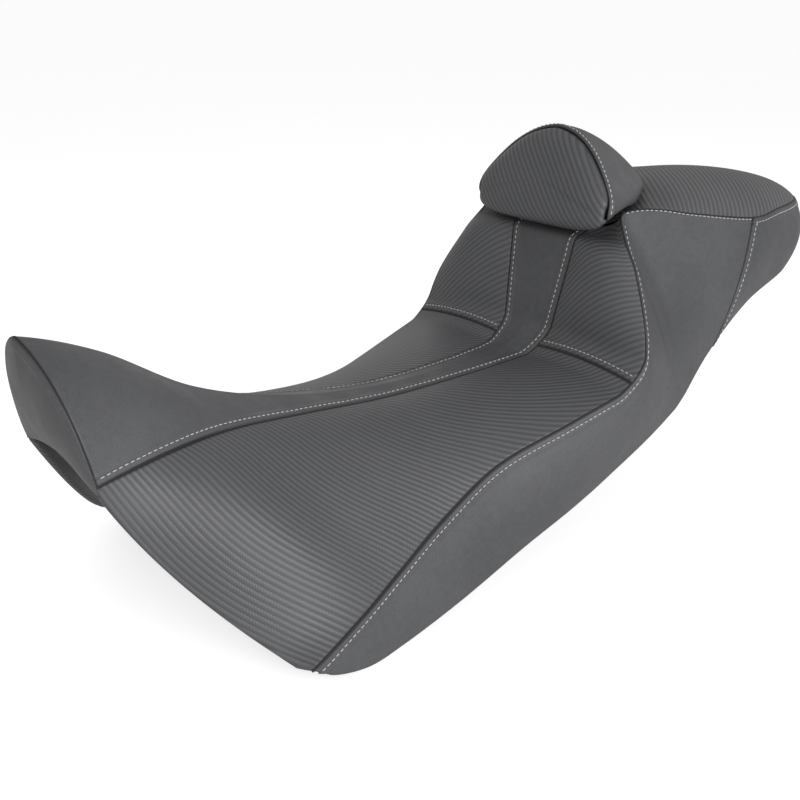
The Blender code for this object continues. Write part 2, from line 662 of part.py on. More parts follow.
def make_pad(where, cutters, looks):
    """The pad, hung from an empty on the hinge's axis."""
    face = face_piece("pad_face_cover", PAD_SEAM_INSET, 0, COVER, where, looks["carbon"])
    cushion = face_piece("pad_foam", PAD_FOAM_INSET, COVER + 0.8, PAD_FOAM, where, looks["foam"])
    pocket = box("hinge_pocket", HINGE_POCKET, HINGE_POCKET_AT, cutters, looks["foam"])
    cut(cushion, as_cutter(pocket))
    dome = shell("pad_boxing_cover", mirrored(through(PAD_DOME, 8, 9)), COVER, where, looks["vinyl"])
    axis = bpy.data.objects.new("pad_hinge_axis", None)
    axis.location = world((0, HINGE_Y, HINGE_Z))
    where.objects.link(axis)
    hang(axis, face, cushion, dome, back_plate(where, looks["black_steel"]))
    hang(axis, *hinge_ears(where, looks["black_steel"]))


def back_plate(where, look):
    """The plate behind the pad's foam, parallel to the face."""
    lean = math.atan(PAD_LEAN)
    half = [(x, rise / math.cos(lean)) for x, rise in BACK_PLATE]
    outline = half + [(-x, s) for x, s in reversed(half)]
    at = (0, PAD_FACE_Y + PAD_DEPTH + LEAF / 2, PAD_FACE_Z)
    return flat_plate("pad_back_plate", [outline], LEAF, at, (math.pi / 2 - lean, 0, 0), where, look)


def hinge_ears(where, look):
    reach = PAD_DEPTH - 0.5
    ear = arc((HINGE_Y, HINGE_Z), EAR_BOSS, 120, 300, 9) + [(pad_plane(z) + reach, z) for z in EAR_TOP]
    hole = arc((HINGE_Y, HINGE_Z), PIN_HOLE, 0, 330, 12)
    sides = (("left", EAR_X), ("right", -EAR_X))
    return [flat_plate(f"pad_hinge_ear_{side}", [ear, hole], LEAF, (x, 0, 0), SIDEWAYS, where, look)
            for side, x in sides]


# ---- what fastens the pan to the motorcycle


def make_mounting(fine_floor, pan, where, cutters, looks):
    top = pan_low(fine_floor, 0, 0, 26) - PAN_GAP
    low = -CREASE_HEIGHT
    width, depth = REST_BLOCK
    box("frame_rest_block", (width, depth, top - low), (0, 0, (top + low) / 2), where, looks["rubber"])
    for count, (x, y) in enumerate(BUMPERS, 1):
        top = pan_low(fine_floor, x, y, BUMPER_RADIUS) - PAN_GAP
        foot = top - BUMPER_HEIGHT
        for side, sign in (("left", 1), ("right", -1)):
            name = f"pan_bumper_{side}_{count}"
            turned(name, bumper_profile(), (sign * x, y, foot), (0, 0, 0), where, looks["rubber"])
    steel = looks["black_steel"]
    tongue = flat_plate("front_tongue", [TONGUE], TONGUE_WIDTH, (0, 0, 0), SIDEWAYS, where, steel)
    for count, (x, y) in enumerate(TONGUE_BOLTS, 1):
        head = TONGUE[-1][1] - GAP
        bolt(f"tongue_bolt_{count}", x, y, head, head + 7, where, looks["steel"])
        way = bolt_way(f"tongue_bolt_way_{count}", x, y, head - 2, head + 12, cutters, looks["steel"])
        cut(pan, way)
        cut(tongue, way)
    plate_top = pan_low(fine_floor, 0, LATCH_Y, 36) - PAN_GAP
    plate_low = plate_top - LATCH_PLATE[2]
    plate = box("latch_plate", LATCH_PLATE, (0, LATCH_Y, (plate_top + plate_low) / 2), where, steel)
    for count, (x, y) in enumerate(LATCH_BOLTS, 1):
        head = plate_low - GAP
        bolt(f"latch_bolt_{count}", x, y, head, head + 6, where, looks["steel"])
        way = bolt_way(f"latch_bolt_way_{count}", x, y, head - 2, head + 12, cutters, looks["steel"])
        cut(pan, way)
        cut(plate, way)
    latch_loop(plate_low - GAP, where, looks["steel"])


def bumper_profile():
    r, h = BUMPER_RADIUS, BUMPER_HEIGHT
    return [(0, h), (r - 1.5, h), (r, h - 1.5), (r, 1.5), (r - 1.5, 0), (0, 0)]


def latch_loop(top, where, look):
    """The loop that the motorcycle's seat lock closes on."""
    half, depth, radius = LATCH_LOOP
    bend = arc((0, top - depth + half), half, 0, -180, 9)
    path = [(half, top)] + bend + [(-half, top)]
    curve = bpy.data.curves.new("latch_loop", "CURVE")
    curve.dimensions = "3D"
    curve.bevel_depth = radius * MM
    curve.bevel_resolution = 2
    curve.use_fill_caps = True
    spline = curve.splines.new("POLY")
    spline.points.add(len(path) - 1)
    for point, (x, z) in zip(spline.points, path):
        point.co = (*world((x, LATCH_Y, z)), 1)
    curve.materials.append(look)
    where.objects.link(bpy.data.objects.new("latch_loop", curve))


def main():
    clear_scene()
    seat = collection("motorcycle_seat")
    cutters = collection("cutters")
    looks = {
        "vinyl": material("plain_vinyl", VINYL, 0.5),
        "carbon": material("carbon_look_vinyl", CARBON_VINYL, 0.45),
        "foam": material("seat_foam", FOAM, 0.9),
        "plastic": material("moulded_plastic", PLASTIC, 0.6),
        "rubber": material("rubber", RUBBER, 0.8),
        "steel": material("zinc_plated_steel", STEEL, 0.35, 1.0),
        "black_steel": material("black_coated_steel", BLACK_STEEL, 0.5, 0.3),
    }
    skin = seat_skin()
    top_cover = make_covers(skin, seat, looks)
    floor = pan_grid()
    fine_floor = through(PAN_ROWS, 80, 400)
    pan = make_pan(floor, seat, looks["plastic"])
    driver, passenger = make_foams(skin, floor, seat, looks["foam"])
    make_receiver(fine_floor, [driver, passenger, top_cover], pan, seat, cutters, looks)
    make_plunger(seat, looks)
    make_post(seat, cutters, looks)
    make_pad(seat, cutters, looks)
    make_mounting(fine_floor, pan, seat, cutters, looks)


main()
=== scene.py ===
"""The looks of a one-piece step-up motorcycle seat with a folding driver backrest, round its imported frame.

Tables are in millimetres, measured from the middle of the lumbar crease, where the rider's seat meets the
lumbar wall: +X to the left, +Y to the rear, +Z up. world() turns them into the frame's metres.
"""

import json
import math

import bmesh
import bpy
import numpy as np
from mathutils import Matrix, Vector

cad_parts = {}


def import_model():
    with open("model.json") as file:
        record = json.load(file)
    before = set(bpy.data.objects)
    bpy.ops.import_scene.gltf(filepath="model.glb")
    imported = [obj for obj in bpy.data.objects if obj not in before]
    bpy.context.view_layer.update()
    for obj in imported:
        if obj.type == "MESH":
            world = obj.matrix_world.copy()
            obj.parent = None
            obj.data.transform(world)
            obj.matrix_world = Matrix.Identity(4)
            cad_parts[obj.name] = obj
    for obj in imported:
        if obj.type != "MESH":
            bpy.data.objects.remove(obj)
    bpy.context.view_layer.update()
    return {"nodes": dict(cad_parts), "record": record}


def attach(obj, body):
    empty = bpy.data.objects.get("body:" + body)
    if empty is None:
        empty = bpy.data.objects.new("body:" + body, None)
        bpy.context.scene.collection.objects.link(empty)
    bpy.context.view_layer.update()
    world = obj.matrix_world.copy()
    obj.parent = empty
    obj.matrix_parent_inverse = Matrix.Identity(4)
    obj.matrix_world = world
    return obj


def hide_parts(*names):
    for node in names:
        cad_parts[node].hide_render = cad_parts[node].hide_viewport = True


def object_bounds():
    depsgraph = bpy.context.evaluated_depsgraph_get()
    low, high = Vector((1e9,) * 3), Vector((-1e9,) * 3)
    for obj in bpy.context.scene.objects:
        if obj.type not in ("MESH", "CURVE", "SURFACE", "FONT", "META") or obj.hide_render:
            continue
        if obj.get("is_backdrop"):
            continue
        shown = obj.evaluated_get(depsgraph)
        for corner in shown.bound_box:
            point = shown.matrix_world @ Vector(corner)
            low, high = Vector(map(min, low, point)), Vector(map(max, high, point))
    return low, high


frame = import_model()

MM = 0.001
CREASE_HEIGHT = 62.0
DENSE = 16  # samples between two stations of a rail
ACROSS = 81  # samples between two rails
ARCH_SAMPLES = 49  # of half the nose's arch
LINE_SAMPLES = 200  # of a line that is cut to a part of it
PART_SAMPLES = 60  # of that part
VINYL_THICKNESS = 1.8
TINY = 1e-9  # the least length that anything is divided by
SIDES = {"left": False, "right": True}  # whether it is mirrored

# Rails run front to rear, one point a station. Each panel lies between two rails, and its middle is shifted
# off the straight line between them by the panel's own list.
RIDER = {
    "centre": [(0, -482, 94), (0, -421, 71), (0, -350, 29), (0, -270, 4), (0, -180, -8), (0, -85, -7),
               (0, 0, 0)],
    "strip": [(71, -461, -1), (59, -397, 7), (43, -338, 5), (29, -265, -4), (21, -175, -12), (22, -80, -9),
              (29, 0, 0)],
    "edge": [(176, -358, -132), (160, -302, -115), (147, -259, -99), (134, -205, -75), (129, -145, -47),
             (138, -75, -25), (148, 0, -2)],
    "hem": [(175, -352, -137), (172, -310, -150), (165, -268, -149), (153, -200, -140), (143, -125, -122),
            (139, -62, -104), (138, -10, -82)],
    "strip_shift": [(15, -2, 16), (8, 0, 6), (2, 0, 1), (0, 0, 0), (0, 0, 0), (0, 0, 0), (0, 0, 0)],
    "panel_shift": [(-25, -3, -15), (6, -10, 9), (5, -3, 10), (5, 0, 11), (4, 0, 10), (3, 0, 8), (0, 0, 4)],
    "side_shift": [(0, 0, 0), (3, 0, 0), (5, 0, 0), (7, 0, 0), (9, 0, 0), (9, 0, 0), (8, 0, 0)],
}
LUMBAR = {
    "centre": [(0, 0, 0), (0, 7, 42), (0, 15, 84), (0, 19, 103), (0, 28, 109), (0, 40, 117)],
    "strip": [(29, 0, 0), (34, 8, 42), (39, 16, 84), (41, 20, 103), (43, 29, 109), (46, 40, 117)],
    "edge": [(148, 0, -2), (143, 8, 37), (117, 20, 84), (103, 24, 102), (94, 27, 113), (82, 32, 131)],
    "hem": [(138, -10, -82), (136, 32, -64), (130, 70, -49), (129, 77, -45), (128, 84, -40), (126, 92, -35)],
    "strip_shift": [(0, 0, 0)] * 6,
    "panel_shift": [(0, 0, 4), (4, -9, 4), (5, -9, 4), (4, -3, 1), (2, 3, -2), (0, 2, -5)],
    "side_shift": [(8, 0, 0), (8, 0, 0), (9, 0, 0), (9, 0, 1), (10, 0, 2), (10, 0, 3)],
}
PASSENGER = {
    "centre": [(0, 40, 117), (0, 66, 118), (0, 98, 129), (0, 135, 145), (0, 205, 146), (0, 270, 140),
               (0, 322, 129), (0, 344, 116)],
    "edge": [(82, 32, 131), (87, 50, 134), (93, 75, 132), (101, 112, 125), (110, 187, 114), (104, 233, 116),
             (82, 292, 115), (50, 327, 115)],
    "top_shift": [(0, 0, -7), (0, 0, -6), (3, 0, 0), (5, 0, 7), (5, 0, 8), (5, 0, 7), (3, 2, 5), (0, 4, 1)],
}
REAR_HEM = [(126, 92, -35), (124, 103, -25), (122, 113, -17), (120, 123, -10), (118, 134, -3)]
REAR_SHIFT = [(10, 0, 3), (10, 0, 0), (9, 0, 0), (8, 0, 0), (7, 0, 0)]
TAIL_HEM = [(118, 134, -3), (110, 193, 31), (100, 262, 52), (60, 322, 60), (0, 342, 62)]
TAIL_SHIFT = [(7, 0, 0), (7, 4, 0), (6, 8, 0), (4, 10, 0), (0, 12, 0)]
TAIL_STATION = 4  # of the passenger's edge, where the side cover ends and the tail cover begins
TAIL_SKIP = 4  # the tail's edge takes every fourth sample of the passenger's rear row
FRONT_HEM = [(0, -462, 3), (26, -462, 1), (50, -462, -3), (69, -459, -10)]
FRONT_BULGE = 8.0

# The pan's rim on its underside: the front row from the middle out, the side edge, and the rear row.
PAN_FRONT = [(0, -456, 6), (60, -448, -10), (88, -400, -78), (154, -342, -123)]
PAN_SIDE = [(154, -342, -123), (156, -306, -135), (150, -264, -136), (138, -197, -127), (128, -122, -109),
            (124, -60, -91), (123, -8, -71), (120, 36, -54), (113, 77, -36), (108, 101, -17), (102, 140, 11)]
PAN_TAIL = [(102, 140, 11), (95, 194, 39), (85, 251, 56), (61, 290, 59), (41, 307, 61), (31, 314, 62),
            (18, 317, 62), (0, 318, 62)]
PAN_MIDDLE = (0.0, -60.0, -52.0)  # the rim's flap points to here
PAN_LEAN = 0.25  # of the way there that lies along the seat
NOSE_SHARE = 0.27  # of the pan's front row that lies behind the nose's front cover

# How far across a row, at most, the fine steps at its two edges reach, as a share of its length.
EDGE_SHARE = 0.8
PANEL_PITCH = 4.0  # of the grid between them
PAD_PITCH = 3.0

# How a seam shapes the vinyl beside it, and how much shade is painted into the vinyl's colour beside it.
GROOVE = 1.5
GROOVE_WIDTH = 1.1
FOLD_DEPTH = 1.5  # of the two turned-in edges: a tube painted far darker than the vinyl, as the shade in the seam
FOLD_SIZE = 1.25
FLUSH_GROOVE = 0.9
# how far from a seam the shade painted into the vinyl reaches
SEAM_SHADE = 1.5
ALLOWANCE = 0.8  # how far the doubled vinyl under the topstitch stands up
ALLOWANCE_END = 9.0
ALLOWANCE_SLOPE = 1.6
STITCH_AT = 5.5  # from the seam
FLUSH_STITCH_AT = 1.9
STITCH_VALLEY = (0.55, 0.95)  # depth and width
FLUSH_VALLEY = (0.3, 0.8)
FLUSH_FADE = 0.03  # the share of the side cover over which its raised band ends
FLUSH_GAP = (0.005, 0.01)  # the share of it past which one row of stitches ends, and the other begins
FLUSH_SHADE = 0.3  # of the seam's painted shade is left there
STITCH_LENGTH = 3.7
STITCH_PITCH = 5.0
THREAD_RADIUS = 0.46
# The rings of half a stitch, from its end: the place as a share of half its length, the height off the
# vinyl, and the radius as a share of the thread's.
STITCH_RINGS = ((1, -0.75, 0.5), (0.82, -0.1, 0.85), (0.4, 0.3, 1))
PLAIN_STEPS = (0, 0.5, 1.0, 1.6, 2.4, 3.6, 5.5, 8)
PAD_STITCH_AT = 3.6
STITCHED_STEPS = (0, 0.5, 1.0, 1.6, 2.4, 3.4, 4.4, 5.0, 5.5, 6.0, 6.6, 7.4, 8.2, 9.0, 10.0, 12)
FREE_STEPS = (0,)
HEM_STEPS = (0, 1.5, 4)
EDGE_STEPS = {
    "seam": PLAIN_STEPS, "flush": PLAIN_STEPS, "stitched": STITCHED_STEPS, "banded": STITCHED_STEPS,
    "free": FREE_STEPS, "hem": HEM_STEPS,
}

# How the vinyl swells over its foam, found by cloth simulation on coarse copies with fixed edges.
CROWN_LIMIT = 3.2
CLOTH_FRAMES = 20
CLOTH_CELLS = (60, 26)  # rows and columns that a coarse copy has at least, where its panel has them
CLOTH = {
    "vertex_group_mass": "edge", "use_pressure": True, "uniform_pressure_force": 4.0,
    "tension_stiffness": 40, "compression_stiffness": 40, "shear_stiffness": 20, "bending_stiffness": 2,
    "air_damping": 4,
}

# The hem: the vinyl folds under and is stapled to the pan.
FOLD_RADIUS = 3.0
FOLD_TAPER = 12.0  # over which the fold flattens towards a hem's ends
FOLD_LEAST = 0.1  # of its radius, at the ends
FOLD_ANGLES = (35, 75, 115, 155, 180)
FLAP = 13.0
FLAP_DROP = (1.6, 1.4)  # below the pan, at its rim and at the flap's end
STAPLE_PITCH = 21.0
STAPLE_MARGIN = 12.0
STAPLE_LENGTH = 9.0
STAPLE_RADIUS = 0.6
STAPLE_RINGS = ((1, -0.9, 1), (0.86, 0.25, 1))

# The backrest pad.
PAD_FACE = [(0, 200), (24, 195), (46, 184), (68, 165), (82, 149), (85, 137), (78, 121), (55, 115), (25, 114),
            (0, 114)]
PAD_LEAN = 0.32
PAD_FACE_Y = 16.0
PAD_FACE_Z = 140.0
PAD_CORE_Z = 152.0
PAD_CROWN = 9.5
CROWN_POWERS = (4, 0.6)
PAD_DOME = [
    [(0, 35, 200), (30, 33, 193), (58, 27, 175), (84, 18, 145), (82, 14, 126)],
    [(0, 60, 195), (28, 56, 187), (54, 49, 167), (80, 38, 146), (80, 38, 134)],
    [(0, 90, 182), (27, 84, 174), (50, 75, 159), (71, 62, 146), (71, 62, 134.5)],
    [(0, 117, 163), (22, 111, 158), (42, 101, 151), (57, 87, 145), (56, 86, 137)],
    [(0, 126, 148), (17, 122, 146), (34, 112, 143), (47, 99, 141), (46, 98, 138.5)],
]
DOME_SAMPLES = (33, 49)  # across half the dome, and from the face's seam to the rear
ROLL_ANGLES = (90, 72, 54, 36, 18)  # of the dome's front edge, rolled in to the seam
PAD_SEAM = (2.6, 2.2)  # the face's seam, in from the outline and forward of the dome's first row
PAD_SEWN = (124, 134)  # the heights over which the seam begins at the pad's lower corners
PAD_FORWARD = np.array((0, -1, PAD_LEAN)) / math.hypot(1, PAD_LEAN)
PAD_UNDER_REAR = [(81, 30, 134), (60, 25, 121), (28, 22, 116.3), (0, 22, 116)]
PAD_UNDER_HEIGHT = 128  # the face's outline below this is the underside's front
PAD_UNDER_BULGE = (0, 0, -2.0)
PAD_UNDER_SAMPLES = 9
# The rings of the pad's face, each as a share of the outline.
FACE_SHARES = (1, 0.992, 0.983, 0.972, 0.955, 0.93, 0.895, 0.85, 0.79, 0.71, 0.61, 0.5, 0.38, 0.26, 0.14,
               0.04)
FACE_SAMPLES = 168
FACE_RADIUS = 70.0
FACE_GROOVE = (1.8, 1.2)  # depth and width
WELD = 1e-6
FACE_HOLE = 0.006  # the innermost ring is within this of the middle, in metres

POST_Y = 52.0
SLOT_HALF = (26.0, 10.5)  # the hole in the passenger's top for the backrest's post
SLOT_RAISE = 2.2
SLOT_SLOPE = (6, 22)  # the distances from the hole between which the raised vinyl falls away

# How the ribs of the carbon-look vinyl run: degrees from across the seat towards along it, degrees that they
# turn in each metre along it, and the place along it where the angle holds. The right side isn't mirrored.
RIBS = {"rider": (38, 80, -280), "lumbar": (40, 0, 0), "passenger": (-38, 0, 0), "pad": (-47, 0, 0)}
RIB_PITCH = 5.0

FOAM_VOXEL = 0.006
FOAM_SOFTENING = 6
METAL_EDGE = 0.0004
METAL_EDGE_ANGLE = 35
SHARP_ANGLE = 40

CAMERA_AT = (0.744, -0.710, 0.3825)
CAMERA_AIM = (0.0, -0.149, 0.034)
LENS = 50.0
AMBIENT = 0.46
FLOOR_GLOW = (0.22, 0.68)  # what the floor gives the seat, and what it shows
LIGHT_AIM = (0, -0.05, 0.03)
LIGHTS = {
    "key": ((1.95, -0.5, 0.72), (1.6, 1.2), 38),
    "front": ((0.3, -1.8, 1.5), (1.6, 1.0), 7),
    "rear": ((0.3, 2.0, 1.3), (1.6, 1.0), 3),
    "right": ((-1.9, 0.8, 0.7), (1.6, 1.0), 3),
}


# ---- shapes


def world(points):
    """Table millimetres to the frame's metres."""
    return (np.asarray(points, float) + (0, 0, CREASE_HEIGHT)) * MM


def curve_through(points, at):
    """A smooth curve through the points, which sit at 0, 1, 2 ..., read at the given places."""
    p = np.asarray(points, float)
    last = len(p) - 1
    slope = np.empty_like(p)
    slope[1:-1] = (p[2:] - p[:-2]) / 2
    slope[0] = 2 * (p[1] - p[0]) - slope[1]
    slope[-1] = 2 * (p[-1] - p[-2]) - slope[-2]
    at = np.clip(at, 0, last)
    i = np.minimum(at.astype(int), last - 1)
    f = (at - i)[:, None]
    return (
        (2 * f**3 - 3 * f**2 + 1) * p[i]
        + (f**3 - 2 * f**2 + f) * slope[i]
        + (3 * f**2 - 2 * f**3) * p[i + 1]
        + (f**3 - f**2) * slope[i + 1]
    )


def dense(points, count=None):
    """The curve through the points, read at DENSE places a segment or at count places in all."""
    last = len(points) - 1
    return curve_through(points, np.linspace(0, last, count or last * DENSE + 1))


def unit(vectors):
    return vectors / np.maximum(np.linalg.norm(vectors, axis=-1, keepdims=True), TINY)


def lengths(line):
    """The distance along a line of points, from its start."""
    return np.concatenate([[0], np.cumsum(np.linalg.norm(np.diff(line, axis=0), axis=1))])


def read_line(line, along, at):
    """The line at some distances along it, given the distance of each of its points."""
    return np.stack([np.interp(at, along, line[:, k]) for k in range(line.shape[1])], axis=1)


def ease(rails, first, second, reach, rounds=60):
    """Rounds the corner where one rail runs on into another."""
    joint = len(rails[first]) - 1
    line = np.concatenate([rails[first], rails[second][1:]])
    along = lengths(line)
    weight = np.clip(1 - np.abs(along - along[joint]) / reach, 0, 1)[1:-1, None]
    for _ in range(rounds):
        line[1:-1] += ((line[:-2] + line[2:]) / 2 - line[1:-1]) * weight
    rails[first], rails[second] = line[: joint + 1], line[joint:]


def make_rails():
    rails = {}
    for name, table in (("rider", RIDER), ("lumbar", LUMBAR), ("rear", PASSENGER)):
        for key, points in table.items():
            rails[name, key] = dense(points)
    rails["rear", "hem"] = dense(REAR_HEM, TAIL_STATION * DENSE + 1)
    for key, reach in (("centre", 34), ("strip", 20), ("edge", 22), ("hem", 30)):
        ease(rails, ("rider", key), ("lumbar", key), reach)
    for key, reach in (("centre", 14), ("edge", 3), ("hem", 25)):
        ease(rails, ("lumbar", key), ("rear", key), reach)
    return rails


def ruled(inner, outer, shift, across=ACROSS):
    """The grid between two lines of points of the same number, its middle moved by shift."""
    t = np.linspace(0, 1, across)[None, :, None]
    return inner[:, None] * (1 - t) + outer[:, None] * t + 4 * t * (1 - t) * shift[:, None]


def turned(grid):
    """The grid with its columns as rows, so that its first row becomes its last column."""
    return np.swapaxes(grid, 0, 1)[:, ::-1]


def joined_rows(*grids):
    return np.concatenate([grids[0]] + [g[1:] for g in grids[1:]])


def mirrored(grid):
    """The half grid and its mirror image, joined at the middle column."""
    return np.concatenate([grid[:, :0:-1] * (-1, 1, 1), grid], axis=1)


def front_panel():
    """Half the lens under the nose: from the front hem up to the arch of the nose."""
    first = [np.array([RIDER[key][0]], float) for key in ("centre", "strip", "strip_shift")]
    arch = ruled(*first, ARCH_SAMPLES)[0]
    hem = dense(FRONT_HEM, ARCH_SAMPLES)
    bulge = np.cos(np.linspace(0, math.pi / 2, ARCH_SAMPLES))[:, None] * (0, -FRONT_BULGE, 0)
    return np.swapaxes(ruled(hem, arch, bulge, ARCH_SAMPLES), 0, 1)


def seat_grids():
    """Each panel's own surface: the left one of a pair, or the whole one.

    Rows run to the rear or up, and columns to +X. But the columns of the side, the front and the tail run
    down to the hem, and the rows of the last two run along their seam.
    """
    r = make_rails()
    nose = ruled(r["rider", "centre"], r["rider", "strip"], r["rider", "strip_shift"])
    strip = ruled(r["lumbar", "centre"], r["lumbar", "strip"], r["lumbar", "strip_shift"])
    top = ruled(r["rear", "centre"], r["rear", "edge"], r["rear", "top_shift"])
    split = TAIL_STATION * DENSE
    rear_edge = r["rear", "edge"][: split + 1]
    tail_edge = np.concatenate([top[split:, -1], top[-1, -2::-1][::TAIL_SKIP]])
    tail = ruled(tail_edge, dense(TAIL_HEM, len(tail_edge)), dense(TAIL_SHIFT, len(tail_edge)))
    side = joined_rows(
        ruled(r["rider", "edge"], r["rider", "hem"], r["rider", "side_shift"]),
        ruled(r["lumbar", "edge"], r["lumbar", "hem"], r["lumbar", "side_shift"]),
        ruled(rear_edge, r["rear", "hem"], dense(REAR_SHIFT, len(rear_edge))),
    )
    return {
        "center": mirrored(joined_rows(nose, strip)),
        "front": turned(mirrored(front_panel())),
        "rider": ruled(r["rider", "strip"], r["rider", "edge"], r["rider", "panel_shift"]),
        "lumbar": ruled(r["lumbar", "strip"], r["lumbar", "edge"], r["lumbar", "panel_shift"]),
        "side": side,
        "top": mirrored(top),
        "tail": np.concatenate([tail, tail[-2::-1] * (-1, 1, 1)]),
        "dome": dome_grid(),
    }


def dome_grid():
    """The pad's back, from the seam of its face, with its front edge rolled in to that seam."""
    rows = np.array([dense(row, DOME_SAMPLES[0]) for row in PAD_DOME])
    columns = [dense(rows[:, j], DOME_SAMPLES[1]) for j in range(rows.shape[1])]
    back = np.stack(columns, axis=1)
    inward = unit(np.array((0, pad_plane(PAD_CORE_Z), PAD_CORE_Z)) - back[0])
    sewn = smooth_step(back[0][:, 2], *PAD_SEWN)[:, None]
    roll = []
    for angle in np.radians(ROLL_ANGLES):
        step = inward * PAD_SEAM[0] * (1 - math.cos(angle)) + PAD_FORWARD * PAD_SEAM[1] * math.sin(angle)
        roll.append(back[0] + step * sewn)
    return mirrored(np.concatenate([roll, back]))


def placed(length, near, far, pitch_count):
    """Distances along a row: the near edge's steps, even ones between, and the far edge's steps."""
    room = near[-1] + far[-1]
    squeeze = min(1.0, EDGE_SHARE * length / room) if room else 1.0
    start = np.array(near) * squeeze
    end = length - np.array(far)[::-1] * squeeze
    return np.concatenate([start, np.linspace(start[-1], end[0], pitch_count + 2)[1:-1], end])


def resampled(grid, near, far, pitch):
    """The grid with its rows read at set distances, and the distances to the row's ends as two channels."""
    totals = [lengths(row[:, :3])[-1] for row in grid]
    count = max(2, int(max(totals) / pitch))
    out = []
    for row in grid:
        along = lengths(row[:, :3])
        want = placed(along[-1], near, far, count)
        out.append(np.column_stack([read_line(row, along, want), want, along[-1] - want]))
    return np.array(out)


def fine_panel(grid, edges, pitch):
    """A panel's fine grid with channels x, y, z, s, t, and the distances to its four edges.

    edges gives the kind of the inner, outer, front and rear edge.
    """
    rows, columns = grid.shape[:2]
    s = np.broadcast_to(np.linspace(0, 1, columns)[None, :, None], (rows, columns, 1))
    t = np.broadcast_to(np.linspace(0, 1, rows)[:, None, None], (rows, columns, 1))
    inner, outer, front, rear = (EDGE_STEPS[kind] for kind in edges)
    across = resampled(np.concatenate([grid, s, t], axis=2), inner, outer, pitch)
    along = resampled(np.swapaxes(across, 0, 1), front, rear, pitch)
    return np.swapaxes(along, 0, 1)


def grid_normals(points):
    """Unit normals of a grid of points, out of the panel."""
    return unit(np.cross(np.gradient(points, axis=1), np.gradient(points, axis=0)))


def smooth_step(x, low, high):
    f = np.clip((x - low) / (high - low), 0, 1)
    return f * f * (3 - 2 * f)


def bell(x, width):
    return np.exp(-((x / width) ** 2))


def seam_shape(distance, kind):
    """How far the surface stands off its base at a distance from an edge of that kind."""
    if kind in ("free", "hem"):
        return np.zeros_like(distance)
    if kind == "flush":
        groove = -FLUSH_GROOVE * bell(distance, GROOVE_WIDTH)
        return groove - FLUSH_VALLEY[0] * bell(distance - FLUSH_STITCH_AT, FLUSH_VALLEY[1])
    shape = -GROOVE * bell(distance, GROOVE_WIDTH)
    if kind in ("stitched", "banded"):
        slope = (ALLOWANCE_END - ALLOWANCE_SLOPE, ALLOWANCE_END + ALLOWANCE_SLOPE)
        shape += ALLOWANCE * (1 - smooth_step(distance, *slope))
    if kind == "stitched":
        shape -= STITCH_VALLEY[0] * bell(distance - STITCH_AT, STITCH_VALLEY[1])
    return shape


# ---- cloth simulation


def new_object(name, data):
    obj = bpy.data.objects.new(name, data)
    bpy.context.scene.collection.objects.link(obj)
    return obj


def add_mesh(name, grid):
    """An object of the grid's quads, which face out."""
    rows, columns = grid.shape[:2]
    index = np.arange(rows * columns).reshape(rows, columns)
    quads = np.stack([index[:-1, :-1], index[:-1, 1:], index[1:, 1:], index[1:, :-1]], axis=-1).reshape(-1, 4)
    mesh = bpy.data.meshes.new(name)
    mesh.from_pydata(world(grid).reshape(-1, 3).tolist(), [], quads.tolist())
    mesh.shade_smooth()
    return new_object(name, mesh)


def cloth_copy(name, grid):
    """A coarse copy of a panel as cloth: fixed along its edges, pushed out from behind by the foam."""
    obj = add_mesh("cloth_" + name, grid)
    rows, columns = grid.shape[:2]
    index = np.arange(rows * columns).reshape(rows, columns)
    border = np.concatenate([index[0], index[-1], index[:, 0], index[:, -1]])
    obj.vertex_groups.new(name="edge").add([int(i) for i in np.unique(border)], 1.0, "REPLACE")
    cloth = obj.modifiers.new("Cloth", "CLOTH")
    for key, value in CLOTH.items():
        setattr(cloth.settings, key, value)
    cloth.settings.effector_weights.gravity = 0
    cloth.collision_settings.use_collision = False
    cloth.point_cache.frame_start = 1
    cloth.point_cache.frame_end = CLOTH_FRAMES
    return obj


def swellings(grids):
    """How each panel swells, as a coarse grid of vectors in millimetres."""
    coarse = {}
    for name, grid in grids.items():
        down, across = (max(1, size // cells) for size, cells in zip(grid.shape, CLOTH_CELLS))
        coarse[name] = grid[::down, ::across]
    cloths = {name: cloth_copy(name, grid) for name, grid in coarse.items()}
    scene = bpy.context.scene
    for count in range(1, CLOTH_FRAMES + 1):
        scene.frame_set(count)
    graph = bpy.context.evaluated_depsgraph_get()
    found = {}
    for name, obj in cloths.items():
        shape = coarse[name].shape
        end = obj.evaluated_get(graph).to_mesh()
        co = np.empty(len(end.vertices) * 3)
        end.vertices.foreach_get("co", co)
        moved = co.reshape(shape) / MM - world(coarse[name]) / MM
        size = np.linalg.norm(moved, axis=-1, keepdims=True)
        found[name] = moved * np.minimum(1, CROWN_LIMIT / np.maximum(size, TINY))
        obj.evaluated_get(graph).to_mesh_clear()
    for obj in cloths.values():
        bpy.data.objects.remove(obj, do_unlink=True)
    scene.frame_set(1)
    return found


def read_grid(values, s, t):
    """A grid's values between its points, at shares s across and t along."""
    x = s * (values.shape[1] - 1)
    y = t * (values.shape[0] - 1)
    i = np.minimum(x.astype(int), values.shape[1] - 2)
    j = np.minimum(y.astype(int), values.shape[0] - 2)
    fx, fy = (x - i)[..., None], (y - j)[..., None]
    low = values[j, i] * (1 - fx) + values[j, i + 1] * fx
    high = values[j + 1, i] * (1 - fx) + values[j + 1, i + 1] * fx
    return low * (1 - fy) + high * fy


# ---- panels


